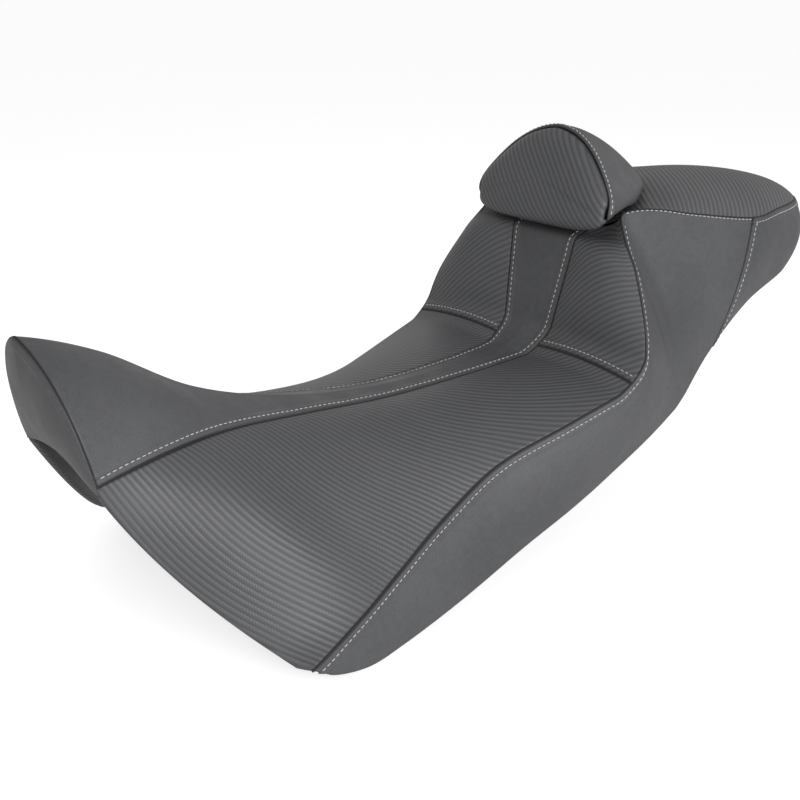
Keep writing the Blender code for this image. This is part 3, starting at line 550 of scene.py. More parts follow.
class Panel:
    """A finished panel: points and normals in millimetres, weave coordinates, and how near a seam each is,
    which weighs the shade painted beside the seam.
    """

    def __init__(self, grid, edges, swelling, pitch=PANEL_PITCH):
        fine = fine_panel(grid, edges, pitch)
        self.base = fine[..., :3]
        self.to = {"inner": fine[..., 5], "outer": fine[..., 6], "front": fine[..., 7], "rear": fine[..., 8]}
        self.t = fine[..., 4]
        self.normals = grid_normals(self.base)
        swell = (read_grid(swelling, fine[..., 3], fine[..., 4]) * self.normals).sum(-1)
        self.height = np.maximum(swell, 0)
        for edge, kind in zip(self.to, edges):
            self.height = self.height + seam_shape(self.to[edge], kind)
        near = [self.to[e] for e, kind in zip(self.to, edges) if kind in ("seam", "stitched", "banded")]
        # seam weighs the shade painted into the vinyl's colour beside a seam
        self.seam = bell(np.min(near, axis=0), SEAM_SHADE) if near else np.zeros(self.t.shape)
        self.settle()
        self.weave = self.flat_coordinates()

    def settle(self):
        self.points = self.base + self.normals * self.height[..., None]

    def flat_coordinates(self):
        """Distances across and along the panel, as on the flat piece of vinyl."""
        across = self.to["inner"] + self.base[:, :1, 0]
        along = self.to["front"] + self.base[:1, :, 1]
        return np.stack([across, along], axis=-1)

    def rim(self, edge):
        """The base points and normals along an edge."""
        at = {"inner": np.s_[:, 0], "outer": np.s_[:, -1], "front": np.s_[0], "rear": np.s_[-1]}[edge]
        return self.base[at], self.normals[at]

    def line(self, edge, distance):
        """The surface points and normals at a distance from the inner or outer edge, row by row."""
        return self.read(self.to[edge], distance, 0)

    def cross_line(self, edge, distance):
        """The same for the front or rear edge, column by column."""
        return self.read(self.to[edge], distance, 1)

    def read(self, away, distance, axis):
        channels = np.concatenate([self.points, self.normals], axis=-1)
        if axis:
            channels, away = np.swapaxes(channels, 0, 1), away.T
        out = []
        for row, far in zip(channels, away):
            order = np.argsort(far)
            out.append([np.interp(distance, far[order], row[order, k]) for k in range(6)])
        out = np.array(out)
        return out[:, :3], out[:, 3:]


def flush_rear(panel, from_share):
    """Behind the lumbar wall the side cover meets the passenger's top without a raised band."""
    share = smooth_step(panel.t, from_share, from_share + FLUSH_FADE)
    raised, flush = (seam_shape(panel.to["inner"], kind) for kind in ("stitched", "flush"))
    panel.height = panel.height + share * (flush - raised)
    # Less shade is painted beside the flush seam.
    panel.seam = panel.seam * (1 - (1 - FLUSH_SHADE) * share)
    panel.settle()


def raise_round_slot(panel):
    """The passenger's top rises a little round the slot of the backrest's post."""
    x, y = panel.base[..., 0], panel.base[..., 1] - POST_Y
    far = np.hypot(np.maximum(np.abs(x) - SLOT_HALF[0], 0), np.maximum(np.abs(y) - SLOT_HALF[1], 0))
    panel.height = panel.height + SLOT_RAISE * (1 - smooth_step(far, *SLOT_SLOPE))
    panel.settle()


def along_ribs(weave, ribs):
    """The weave's coordinates turned to run along and across the ribs."""
    angle, bend, at = ribs
    c, s = math.cos(math.radians(angle)), math.sin(math.radians(angle))
    turn = math.radians(bend) * MM
    u, v = weave[..., 0], weave[..., 1] - at
    u = u - u.mean()
    along = u * c + v * s + turn * (c * v / 2 - s * u) * v
    across = v * c - u * s - turn * (s * v / 2 + c * u) * v
    return np.stack([along, across], axis=-1)


def panel_object(name, panel, hem=None, mirror=False, hole=None, ribs=None):
    """The panel as a mesh with its weave as a UV map and its seam nearness, the weight of the painted seam
    shade, as an attribute.

    hem adds a folded flap, as extra columns past the outer edge, in an array of points.
    """
    points, weave, seam = panel.points, panel.weave, panel.seam
    if hem is not None:
        points, weave, seam = with_flap(points, weave, seam, hem)
    if mirror:
        points = points[:, ::-1] * (-1, 1, 1)
        weave = weave[:, ::-1] * (-1, 1)
        seam = seam[:, ::-1]
    if ribs:
        weave = along_ribs(weave, ribs)
    obj = add_mesh(name, points)
    mesh = obj.data
    layer = mesh.uv_layers.new(name="weave")
    corner = np.empty(len(mesh.loops), int)
    mesh.loops.foreach_get("vertex_index", corner)
    layer.data.foreach_set("uv", (weave.reshape(-1, 2)[corner] * MM).astype(np.float32).ravel())
    # the weight of the shade painted beside seams, for the vinyl materials
    mesh.attributes.new("seam", "FLOAT", "POINT").data.foreach_set("value", seam.astype(np.float32).ravel())
    if hole:
        remove_faces(mesh, hole)
    add_thickness(obj)
    return obj


def with_flap(points, weave, seam, hem):
    """Adds the flap's columns after the last column, and carries the weave on."""
    steps = np.linalg.norm(np.diff(np.concatenate([points[:, -1:], hem], axis=1), axis=1), axis=-1)
    across = weave[:, -1:, 0] + np.cumsum(steps, axis=1)
    along = np.repeat(weave[:, -1:, 1], hem.shape[1], axis=1)
    more = np.stack([across, along], axis=-1)
    still = np.zeros(hem.shape[:2])
    return (
        np.concatenate([points, hem], axis=1),
        np.concatenate([weave, more], axis=1),
        np.concatenate([seam, still], axis=1),
    )


def remove_faces(mesh, inside):
    """Takes out the faces whose middle is inside the given test, in table millimetres."""
    bm = bmesh.new()
    bm.from_mesh(mesh)
    gone = [f for f in bm.faces if inside(*(f.calc_center_median() / MM))]
    bmesh.ops.delete(bm, geom=gone, context="FACES")
    bm.to_mesh(mesh)
    bm.free()


def add_thickness(obj):
    solid = obj.modifiers.new("Thickness", "SOLIDIFY")
    solid.thickness = VINYL_THICKNESS * MM
    solid.offset = -1.0
    solid.use_even_offset = False


def rim_line(points, inset):
    """A run of the pan's rim, and the same run moved in over the pan's underside."""
    line = np.asarray(points, float)
    inward = np.array(PAN_MIDDLE) - line
    inward[:, 1] *= PAN_LEAN
    return line, line + unit(inward) * inset


def flap(points, normals, rim):
    """The hem's folded flap: round a small fold, back to the pan's rim, and on along the pan."""
    edge, out = points[:, -1], normals[:, -1]
    down = unit(edge - points[:, -3])
    along = lengths(edge)
    to_end = np.minimum(along, along[-1] - along)[:, None]
    radius = FOLD_RADIUS * np.clip(to_end / FOLD_TAPER, FOLD_LEAST, 1)
    columns = []
    for angle in np.radians(FOLD_ANGLES):
        columns.append(edge + radius * (down * math.sin(angle) - out * (1 - math.cos(angle))))
    share = np.linspace(0, 1, len(edge))
    for line, drop in zip(rim_line(rim, FLAP), FLAP_DROP):
        along = lengths(line)
        target = read_line(line, along, share * along[-1])
        target[:, 2] -= drop
        columns.append((columns[-1] + target) / 2)
        columns.append(target)
    return np.stack(columns, axis=1)


def sub_line(points, start, end):
    """Part of a line, from one share of its length to another."""
    line = dense(points, LINE_SAMPLES)
    along = lengths(line)
    return read_line(line, along, np.linspace(start, end, PART_SAMPLES) * along[-1])


# ---- thread and staples


def tubes(name, centres, tangents, normals, profile, sides=6):
    """One mesh of short tubes. profile is (place along, height off the surface, radius) for each ring."""
    angle = np.linspace(0, 2 * math.pi, sides, endpoint=False)[None, :, None]
    side = np.cross(tangents, normals)
    outward = np.cos(angle) * side[:, None] + np.sin(angle) * normals[:, None]
    rings = []
    for place, height, radius in profile:
        middle = centres + tangents * place + normals * height
        rings.append(middle[:, None] + radius * outward)
    points = np.stack(rings, axis=1)
    size = len(profile) * sides
    faces = []
    for start in range(0, len(centres) * size, size):
        last = start + size - sides
        for low in range(start, last, sides):
            for k in range(sides):
                after = low + (k + 1) % sides
                faces.append((low + k, after, after + sides, low + k + sides))
        faces.append(tuple(reversed(range(start, start + sides))))
        faces.append(tuple(range(last, last + sides)))
    mesh = bpy.data.meshes.new(name)
    mesh.from_pydata(world(points).reshape(-1, 3).tolist(), [], faces)
    mesh.shade_smooth()
    return new_object(name, mesh)


def spaced(line, normals, pitch, margin=1.5):
    """Centres, tangents and normals at an even pitch along a line."""
    along = lengths(line)
    count = max(1, int((along[-1] - 2 * margin) / pitch))
    at = margin + (np.arange(count) + 0.5) * (along[-1] - 2 * margin) / count
    tangent = read_line(line, along, at + 1) - read_line(line, along, at - 1)
    return read_line(line, along, at), unit(tangent), unit(read_line(normals, along, at))


def ring_profile(rings, length, radius):
    """The profile of a stitch or a staple, the same from both its ends."""
    first = [(-place * length / 2, height, share * radius) for place, height, share in rings]
    return first + [(-place, height, size) for place, height, size in reversed(first)]


def stitches(name, row, sewn, mirror=False):
    """A row of single stitches, each sinking into the vinyl at its ends, along the sewn points of a line.

    row is the line's points and normals.
    """
    line, normals = (part[sewn] for part in row)
    if mirror:
        line, normals = line[::-1] * (-1, 1, 1), normals[::-1] * (-1, 1, 1)
    profile = ring_profile(STITCH_RINGS, STITCH_LENGTH, THREAD_RADIUS)
    return tubes(name, *spaced(line, normals, STITCH_PITCH), profile)


def painted_shade_seam_fold(name, first, second=None, mirror=False):
    """The dark fold along a seam, between the edges of its panels, each given as points and normals: it
    stands in for the turned-in edges, and its dark colour is painted shade.
    """
    line, normals = first
    if second is not None:
        apart = np.linalg.norm(line[:, None] - second[0][None], axis=-1)
        normals = normals + second[1][np.argmin(apart, axis=1)]
    line = line - unit(normals) * FOLD_DEPTH
    if mirror:
        line = line * (-1, 1, 1)
    curve = bpy.data.curves.new(name, "CURVE")
    curve.dimensions = "3D"
    curve.bevel_depth = FOLD_SIZE * MM
    curve.bevel_resolution = 1
    spline = curve.splines.new("POLY")
    spline.points.add(len(line) - 1)
    for point, place in zip(spline.points, world(line)):
        point.co = (*place, 1)
    drawn = new_object(name, curve)
    bpy.context.view_layer.update()
    mesh = bpy.data.meshes.new_from_object(drawn.evaluated_get(bpy.context.evaluated_depsgraph_get()))
    mesh.shade_smooth()
    obj = new_object(name, mesh)
    bpy.data.objects.remove(drawn, do_unlink=True)
    return obj


def fold_pair(name, first, second, look):
    for side, mirror in SIDES.items():
        place(painted_shade_seam_fold(f"{name}_{side}", first, second, mirror), look, "seat", "plain_vinyl")


def staples(name, runs):
    """Wire staples along the flaps."""
    parts = [spaced(line, normals, STAPLE_PITCH, STAPLE_MARGIN) for line, normals in runs]
    frames = (np.concatenate(part) for part in zip(*parts))
    return tubes(name, *frames, ring_profile(STAPLE_RINGS, STAPLE_LENGTH, STAPLE_RADIUS), 8)


# ---- materials


class Graph:
    """A material's nodes, built with short calls."""

    def __init__(self, name):
        self.material = bpy.data.materials.new(name)
        self.material.use_nodes = True
        self.tree = self.material.node_tree
        self.shader = self.tree.nodes["Principled BSDF"]

    def add(self, kind, settings=None, **inputs):
        node = self.tree.nodes.new(kind)
        for key, value in (settings or {}).items():
            setattr(node, key, value)
        for key, value in inputs.items():
            self.plug(node.inputs[key.replace("_", " ")], value)
        return node

    def plug(self, socket, value):
        if isinstance(value, bpy.types.NodeSocket):
            self.tree.links.new(value, socket)
        else:
            socket.default_value = value

    def calc(self, operation, a, b=0.0, c=0.0):
        node = self.tree.nodes.new("ShaderNodeMath")
        node.operation = operation
        for socket, value in zip(node.inputs, (a, b, c)):
            self.plug(socket, value)
        return node.outputs[0]

    def ramp(self, value, low, high, to_low=0.0, to_high=1.0):
        node = self.add("ShaderNodeMapRange", {"interpolation_type": "SMOOTHSTEP"})
        for key, number in (("From Min", low), ("From Max", high), ("To Min", to_low), ("To Max", to_high)):
            node.inputs[key].default_value = number
        self.plug(node.inputs["Value"], value)
        return node.outputs["Result"]

    def colour(self, share, low, high):
        node = self.add("ShaderNodeMix", {"data_type": "RGBA"})
        self.plug(node.inputs[0], share)
        self.plug(node.inputs[6], (*low, 1) if isinstance(low, tuple) else low)
        node.inputs[7].default_value = (*high, 1)
        return node.outputs[2]

    def darker(self, colour, share):
        """The colour towards black by a share."""
        return self.colour(share, colour, (0.004, 0.004, 0.004))

    def noise(self, scale, detail=3.0, rough=0.5):
        coordinates = self.add("ShaderNodeTexCoord").outputs["Object"]
        node = self.add("ShaderNodeTexNoise", Vector=coordinates, Scale=scale, Detail=detail, Roughness=rough)
        return node.outputs["Fac"]

    def bump(self, height, distance, strength, normal=None):
        node = self.add("ShaderNodeBump", Height=height, Distance=distance, Strength=strength)
        if normal is not None:
            self.plug(node.inputs["Normal"], normal)
        return node.outputs["Normal"]

    def finish(self, **values):
        for key, value in values.items():
            self.plug(self.shader.inputs[key.replace("_", " ")], value)
        return self.material


def leather_height(g):
    """Fine pebbled grain, about a millimetre across."""
    coordinates = g.add("ShaderNodeTexCoord").outputs["Object"]
    warp = g.add("ShaderNodeTexNoise", Vector=coordinates, Scale=420.0, Detail=2.0)
    moved = g.add("ShaderNodeVectorMath", {"operation": "MULTIPLY_ADD"})
    g.plug(moved.inputs[0], warp.outputs["Color"])
    moved.inputs[1].default_value = (0.0011, 0.0011, 0.0011)
    g.plug(moved.inputs[2], coordinates)
    smooth = {"feature": "SMOOTH_F1"}
    cells = g.add("ShaderNodeTexVoronoi", smooth, Vector=moved.outputs[0], Scale=850.0, Smoothness=0.6)
    return g.calc("SUBTRACT", 1.0, cells.outputs["Distance"])


# The shade painted beside seams: the seam attribute, scaled to its most.
def painted_seam_shade(g, most):
    attribute = g.add("ShaderNodeAttribute", {"attribute_name": "seam"})
    return g.calc("MULTIPLY", attribute.outputs["Fac"], most)


def plain_vinyl(low=(0.055, 0.056, 0.059), high=(0.077, 0.078, 0.082)):
    g = Graph("plain_vinyl")
    grain = leather_height(g)
    tone = g.calc("MULTIPLY_ADD", g.noise(9.0, 4.0), 0.7, g.calc("MULTIPLY", g.noise(160.0, 3.0), 0.3))
    # darker beside the seams, as painted shade
    colour = g.darker(g.colour(g.ramp(tone, 0.3, 0.7), low, high), painted_seam_shade(g, 0.8))
    # darker in the grain's valleys, as painted shade
    colour = g.darker(colour, g.ramp(grain, 0.55, 0.25, 0.0, 0.12))
    soft = g.bump(g.noise(70.0, 3.0), 0.0006, 0.12)
    return g.finish(
        Base_Color=colour,
        Roughness=g.ramp(g.noise(35.0, 4.0), 0.3, 0.7, 0.47, 0.58),
        Normal=g.bump(grain, 0.00025, 0.5, soft),
        Specular_IOR_Level=0.45,
    )


def twill(g):
    """A 2 by 2 twill whose ribs run along the weave's first axis: its height, and the ribs' soft wave."""
    cell = RIB_PITCH * math.sqrt(2) / 4 * MM
    coordinates = g.add("ShaderNodeUVMap", {"uv_map": "weave"}).outputs["UV"]
    split = g.add("ShaderNodeSeparateXYZ", Vector=coordinates)
    u, v = split.outputs["X"], split.outputs["Y"]

    def axis(sign):
        part = g.calc("MULTIPLY", u, sign * math.sqrt(0.5) / cell)
        return g.calc("MULTIPLY_ADD", v, math.sqrt(0.5) / cell, part)

    def dome(value):
        return g.calc("SUBTRACT", 1.0, g.calc("POWER", g.calc("MULTIPLY_ADD", value, 2.0, -1.0), 2.0))

    def run(along, across):
        """The place along a thread, 0 to 1 on top and 1 to 2 below, moved on from each thread to the next."""
        stepped = g.calc("ADD", along, g.calc("FLOOR", across))
        return g.calc("MULTIPLY", g.calc("FLOORED_MODULO", stepped, 4.0), 0.5)

    warp, weft = axis(1), axis(-1)
    warp_run, weft_run = run(weft, warp), run(warp, weft)
    on_top = g.calc("LESS_THAN", warp_run, 1.0)
    warp_height = g.calc("MULTIPLY", dome(g.calc("FRACT", warp)), dome(warp_run))
    weft_height = g.calc("MULTIPLY", dome(g.calc("FRACT", weft)), dome(g.calc("SUBTRACT", weft_run, 1.0)))
    chosen = g.calc("MULTIPLY", warp_height, on_top)
    other = g.calc("MULTIPLY", g.calc("MULTIPLY", weft_height, 0.35), g.calc("SUBTRACT", 1.0, on_top))
    wave = g.calc("SINE", g.calc("MULTIPLY", g.calc("ADD", warp, weft), math.pi / 2))
    rib = g.calc("MULTIPLY_ADD", wave, 0.5, 0.5)
    return g.calc("ADD", chosen, other), rib


def carbon_vinyl(low=(0.052, 0.053, 0.056), high=(0.084, 0.085, 0.089)):
    g = Graph("carbon_look_vinyl")
    tow, rib = twill(g)
    height = g.calc("MULTIPLY_ADD", rib, 0.6, g.calc("MULTIPLY", tow, 0.4))
    # random tone, plus painted shade and highlight: darker in the weave's valleys, lighter on its ridges
    tone_and_rib_shade = g.calc("MULTIPLY_ADD", g.noise(22.0, 3.0), 0.25, g.calc("MULTIPLY", height, 0.85))
    # darker beside the seams, as painted shade
    colour = g.darker(g.colour(g.ramp(tone_and_rib_shade, 0.12, 0.72), low, high), painted_seam_shade(g, 0.6))
    fine = g.bump(g.noise(1400.0, 2.0), 0.00006, 0.25)
    return g.finish(
        Base_Color=colour,
        Roughness=g.ramp(height, 0.1, 0.8, 0.56, 0.42),
        Normal=g.bump(height, 0.0007, 0.5, fine),
        Specular_IOR_Level=0.45,
    )


def painted_shade_fold_material():
    """Vinyl turned in at a seam, coloured far darker than the vinyl as painted shade."""
    g = Graph("painted_shade_seam_fold")
    # near black: painted shade in the seam's groove
    colour = g.colour(g.noise(90.0, 3.0), (0.008, 0.008, 0.009), (0.016, 0.016, 0.017))
    return g.finish(Base_Color=colour, Roughness=0.8, Normal=g.bump(g.noise(900.0), 0.0001, 0.4))


def thread():
    g = Graph("thread")
    coordinates = g.add("ShaderNodeTexCoord").outputs["Object"]
    twist = g.add("ShaderNodeTexWave", Vector=coordinates, Scale=900.0, Distortion=2.0)
    colour = g.colour(g.ramp(twist.outputs["Fac"], 0.2, 0.8), (0.34, 0.34, 0.34), (0.52, 0.52, 0.51))
    return g.finish(Base_Color=colour, Roughness=0.75, Normal=g.bump(twist.outputs["Fac"], 0.00012, 0.6))


def foam_material():
    g = Graph("seat_foam")
    coordinates = g.add("ShaderNodeTexCoord").outputs["Object"]
    pores = g.add("ShaderNodeTexVoronoi", Vector=coordinates, Scale=1100.0).outputs["Distance"]
    colour = g.colour(g.ramp(pores, 0.1, 0.6), (0.30, 0.26, 0.17), (0.55, 0.50, 0.36))
    return g.finish(Base_Color=colour, Roughness=0.95, Normal=g.bump(pores, 0.0005, 0.6))


def noisy(name, tones, gloss, relief, metallic=0.0):
    """A material whose tone, roughness and relief each follow a noise.

    tones is that noise, the darkest and the lightest colour. gloss is its noise and the ends of its range.
    relief is its noise, depth and strength.
    """
    g = Graph(name)
    return g.finish(
        Base_Color=g.colour(g.ramp(g.noise(*tones[0]), 0.3, 0.7), *tones[1:]),
        Metallic=metallic,
        Roughness=g.ramp(g.noise(*gloss[0]), 0.3, 0.7, *gloss[1:]),
        Normal=g.bump(g.noise(*relief[0]), *relief[1:]),
    )


def moulded_plastic():
    tones = ((12.0, 3.0), (0.016, 0.016, 0.017), (0.028, 0.028, 0.030))
    return noisy("moulded_plastic", tones, ((60.0,), 0.5, 0.66), ((900.0, 3.0, 0.6), 0.0002, 0.45))


def rubber_material():
    g = Graph("rubber")
    dust = g.ramp(g.noise(140.0, 5.0, 0.65), 0.45, 0.8, 0.0, 0.35)
    colour = g.colour(dust, (0.012, 0.012, 0.012), (0.06, 0.058, 0.055))
    return g.finish(Base_Color=colour, Roughness=0.82, Normal=g.bump(g.noise(700.0), 0.0002, 0.4))


def zinc():
    spangle = (300.0, 4.0, 0.6)
    tones = (spangle, (0.40, 0.41, 0.43), (0.56, 0.57, 0.60))
    return noisy("zinc_plated_steel", tones, (spangle, 0.26, 0.42), ((1200.0,), 0.00005, 0.4), 1.0)


def black_steel():
    peel = (500.0, 2.0)
    tones = ((20.0, 4.0), (0.018, 0.018, 0.019), (0.032, 0.032, 0.034))
    return noisy("black_coated_steel", tones, (peel, 0.32, 0.46), (peel, 0.00012, 0.35))


def scrim():
    """The dark woven backing under the backrest pad."""
    g = Graph("pad_scrim")
    weave = g.noise(1500.0, 2.0)
    colour = g.colour(g.ramp(weave, 0.3, 0.7), (0.010, 0.010, 0.011), (0.028, 0.028, 0.030))
    return g.finish(Base_Color=colour, Roughness=0.9, Normal=g.bump(weave, 0.0003, 0.5))


def floor_material():
    g = Graph("studio_floor")
    colour = g.colour(g.noise(3.0, 2.0), (0.60, 0.60, 0.60), (0.62, 0.62, 0.62))
    shown = g.add("ShaderNodeLightPath").outputs["Is Camera Ray"]
    return g.finish(
        Base_Color=colour,
        Roughness=0.9,
        Specular_IOR_Level=0.1,
        Emission_Color=(1, 1, 1, 1),
        Emission_Strength=g.ramp(shown, 0.0, 1.0, *FLOOR_GLOW),
    )


def dress(obj, look):
    obj.data.materials.clear()
    obj.data.materials.append(look)


# ---- pieces


def place(obj, look, body, slot, nodes=(), fill=None):
    """Gives a new piece its finish and its body, and hides the CAD nodes that it stands for."""
    dress(obj, look)
    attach(obj, body)
    if nodes:
        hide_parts(*nodes)
    return obj


def pair(name, panel, look, slot, fill, hem=None, ribs=None):
    """The left and the right panel."""
    for side, mirror in SIDES.items():
        obj = panel_object(f"{name}_{side}_vinyl", panel, hem, mirror, ribs=ribs)
        place(obj, look, "seat", slot, [f"{name}_{side}"], fill)


def stitch_pair(name, row, sewn, look):
    for side, mirror in SIDES.items():
        place(stitches(f"{name}_{side}", row, sewn, mirror), look, "seat", "plain_vinyl")


def make_covers(grids, swelling, looks):
    plain, thread_look = looks["plain"], looks["thread"]
    flaps = []

    center = Panel(grids["center"], ("stitched", "stitched", "seam", "seam"), swelling["center"])
    place(panel_object("center_cover_vinyl", center), plain, "seat", "plain_vinyl", ["center_cover"], 0.95)
    stitch_pair("center_stitches", center.line("outer", STITCH_AT), np.s_[4:-4], thread_look)

    nose = Panel(grids["front"], ("banded", "hem", "free", "free"), swelling["front"])
    hem = flap(nose.points, nose.normals, mirrored_line(sub_line(PAN_FRONT, 0, NOSE_SHARE)))
    nose_piece = panel_object("nose_front_cover_vinyl", nose, hem)
    place(nose_piece, plain, "seat", "plain_vinyl", ["nose_front_cover"], 0.9)
    flaps.append(flap_middle(hem))

    side = Panel(grids["side"], ("stitched", "hem", "seam", "seam"), swelling["side"])
    rear_share = 1 - TAIL_STATION * DENSE / (len(grids["side"]) - 1)
    flush_rear(side, rear_share)
    hem = flap(side.points, side.normals, dense(PAN_SIDE))
    pair("side_cover", side, plain, "plain_vinyl", 0.95, hem)
    flaps.append(flap_middle(hem))
    front = np.nonzero(side.t[:, 0] < rear_share + FLUSH_GAP[0])[0]
    stitch_pair("side_stitches", side.line("inner", STITCH_AT), front[3:], thread_look)
    rear = side.t[:, 0] > rear_share + FLUSH_GAP[1]
    stitch_pair("passenger_edge_stitches", side.line("inner", FLUSH_STITCH_AT), rear, thread_look)

    rider = Panel(grids["rider"], ("seam", "seam", "hem", "seam"), swelling["rider"])
    hem = flap(turned(rider.points), turned(rider.normals), sub_line(PAN_FRONT, NOSE_SHARE, 1))
    pair_with_front_flap(rider, hem, looks)
    flaps.append(flap_middle(hem))

    lumbar = Panel(grids["lumbar"], ("seam", "seam", "stitched", "seam"), swelling["lumbar"])
    pair("lumbar_panel", lumbar, looks["carbon"], "carbon_look_vinyl", 0.95, ribs=RIBS["lumbar"])
    stitch_pair("crease_stitches", lumbar.cross_line("front", STITCH_AT), np.s_[3:-3], thread_look)

    top = Panel(grids["top"], ("flush", "flush", "seam", "seam"), swelling["top"])
    raise_round_slot(top)
    top.weave[..., 0] = top.to["inner"] - (top.to["inner"] + top.to["outer"]) / 2
    top_piece = panel_object("passenger_top_vinyl", top, hole=in_slot, ribs=RIBS["passenger"])
    place(top_piece, looks["carbon"], "seat", "carbon_look_vinyl", ["passenger_top_cover"], 0.95)

    tail = Panel(grids["tail"], ("stitched", "hem", "stitched", "stitched"), swelling["tail"])
    rim = np.concatenate([dense(PAN_TAIL), dense(PAN_TAIL)[-2::-1] * (-1, 1, 1)])
    hem = flap(tail.points, tail.normals, rim)
    place(panel_object("tail_cover_vinyl", tail, hem), plain, "seat", "plain_vinyl", ["tail_cover"], 0.95)
    flaps.append(flap_middle(hem))
    edge_piece = stitches("tail_edge_stitches", tail.line("inner", STITCH_AT), np.s_[4:-4])
    place(edge_piece, thread_look, "seat", "plain_vinyl")
    stitch_pair("tail_seam_stitches", tail.cross_line("front", STITCH_AT), np.s_[5:], thread_look)
    make_folds(center, nose, side, rider, lumbar, top, tail, looks["fold"])
    return flaps


def joined_rims(*rims):
    """The points and the normals of some rims, as one rim's."""
    return [np.concatenate(parts) for parts in zip(*rims)]


def make_folds(center, nose, side, rider, lumbar, top, tail, look):
    """The dark line of every seam: a tube whose dark colour is painted shade."""
    inside = joined_rims(rider.rim("inner"), lumbar.rim("inner"))
    fold_pair("strip_seam", center.rim("outer"), inside, look)
    outside = joined_rims(rider.rim("outer"), lumbar.rim("outer"), top.rim("outer"))
    fold_pair("side_seam", side.rim("inner"), outside, look)
    fold_pair("crease_seam", lumbar.rim("front"), rider.rim("rear"), look)
    fold_pair("tail_side_seam", tail.rim("front"), side.rim("rear"), look)
    round_top = joined_rims(top.rim("outer"), top.rim("rear"), top.rim("inner"))
    place(painted_shade_seam_fold("tail_seam", tail.rim("inner"), round_top), look, "seat", "plain_vinyl")
    place(painted_shade_seam_fold("nose_seam", nose.rim("inner"), center.rim("front")), look, "seat", "plain_vinyl")
    place(painted_shade_seam_fold("passenger_front_seam", top.rim("front")), look, "seat", "plain_vinyl")


def in_slot(x, y, z):
    return abs(x) < SLOT_HALF[0] and abs(y - POST_Y) < SLOT_HALF[1]


def mirrored_line(line):
    """A half line from the middle out, as a whole line from the right to the left."""
    return np.concatenate([line[:0:-1] * (-1, 1, 1), line])


def flap_middle(hem):
    """The line along the middle of the flap where it lies on the pan, and the way out of it."""
    line = (hem[:, -3] + hem[:, -1]) / 2
    across = hem[:, -1] - hem[:, -3]
    normal = unit(np.cross(np.gradient(line, axis=0), across))
    normal *= np.where(normal[:, 2:] > 0, -1, 1)
    return line, normal


def pair_with_front_flap(rider, hem, looks):
    """The rider's panels, whose flap is at their front edge."""
    points = np.concatenate([np.swapaxes(hem, 0, 1)[::-1], rider.points])
    steps = np.linalg.norm(np.diff(points[: hem.shape[1] + 1], axis=0), axis=-1)
    along = rider.weave[:1, :, 1] - np.cumsum(steps[::-1], axis=0)[::-1]
    more = np.stack([np.repeat(rider.weave[:1, :, 0], hem.shape[1], axis=0), along], axis=-1)
    seam = np.concatenate([np.zeros(along.shape), rider.seam])
    whole = Bare(points, np.concatenate([more, rider.weave]), seam)
    pair("rider_panel", whole, looks["carbon"], "carbon_look_vinyl", 0.95, ribs=RIBS["rider"])


class Bare:
    """Points, weave and seam nearness, the weight of the painted seam shade, that are already final."""

    def __init__(self, points, weave, seam):
        self.points, self.weave, self.seam = points, weave, seam


# ---- the backrest pad


def pad_plane(z):
    return PAD_FACE_Y + PAD_LEAN * (z - PAD_FACE_Z)


def pad_outline():
    """The closed outline of the pad's face."""
    half = dense([(x, 0, z) for x, z in PAD_FACE], FACE_SAMPLES // 2 + 1)
    loop = np.concatenate([half, half[-2:0:-1] * (-1, 1, 1)])
    loop[:, 1] = pad_plane(loop[:, 2])
    return loop


def pad_face(look):
    """The crowned face, rolled over towards its seam."""
    loop = pad_outline()
    core = np.array((0, pad_plane(PAD_CORE_Z), PAD_CORE_Z))
    sewn = smooth_step(loop[:, 2], *PAD_SEWN)[:, None]
    loop = loop + (unit(core - loop) * PAD_SEAM[0] + PAD_FORWARD * PAD_SEAM[1]) * sewn
    rings = []
    for share in FACE_SHARES:
        crown = PAD_CROWN * (1 - share ** CROWN_POWERS[0]) ** CROWN_POWERS[1]
        groove = FACE_GROOVE[0] * bell((1 - share) * FACE_RADIUS, FACE_GROOVE[1]) * sewn
        rings.append(core + (loop - core) * share + PAD_FORWARD * (crown - groove))
    points = np.stack(rings)
    grid = np.concatenate([points, points[:, :1]], axis=1)[:, ::-1]
    weave = np.stack([grid[..., 0], (grid[..., 2] - PAD_CORE_Z) * math.hypot(1, PAD_LEAN)], axis=-1)
    share = np.array(FACE_SHARES)[:, None]
    closed = np.concatenate([sewn, sewn[:1]])[::-1, 0][None]
    # the shade painted beside the face's seam
    seam = bell((1 - share) * FACE_RADIUS, SEAM_SHADE) * closed
    obj = panel_object("pad_face_vinyl", Bare(grid, weave, seam), ribs=RIBS["pad"])
    close_ring(obj)
    return place(obj, look, "pad", "carbon_look_vinyl", ["pad_face_cover"], 1.0)


def close_ring(obj):
    """Welds the face's first and last column and fills its middle."""
    bm = bmesh.new()
    bm.from_mesh(obj.data)
    bmesh.ops.remove_doubles(bm, verts=bm.verts, dist=WELD)
    core = (PAD_CORE_Z + CREASE_HEIGHT) * MM

    def by_core(vert):
        return abs(vert.co.x) < FACE_HOLE and abs(vert.co.z - core) < FACE_HOLE

    ring = [e for e in bm.edges if e.is_boundary and all(by_core(vert) for vert in e.verts)]
    bmesh.ops.contextual_create(bm, geom=ring)
    bmesh.ops.recalc_face_normals(bm, faces=bm.faces)
    bm.to_mesh(obj.data)
    bm.free()
    obj.data.shade_smooth()


def make_pad(grids, swelling, looks):
    pad_face(looks["carbon"])
    dome = Panel(grids["dome"], ("free", "free", "stitched", "free"), swelling["dome"], PAD_PITCH)
    dome_piece = panel_object("pad_dome_vinyl", dome)
    place(dome_piece, looks["plain"], "pad", "plain_vinyl", ["pad_boxing_cover"], 0.9)
    row = dome.cross_line("front", PAD_STITCH_AT)
    place(stitches("pad_stitches", row, np.s_[2:-2]), looks["thread"], "pad", "plain_vinyl")
    pad_underside(looks["carbon"])


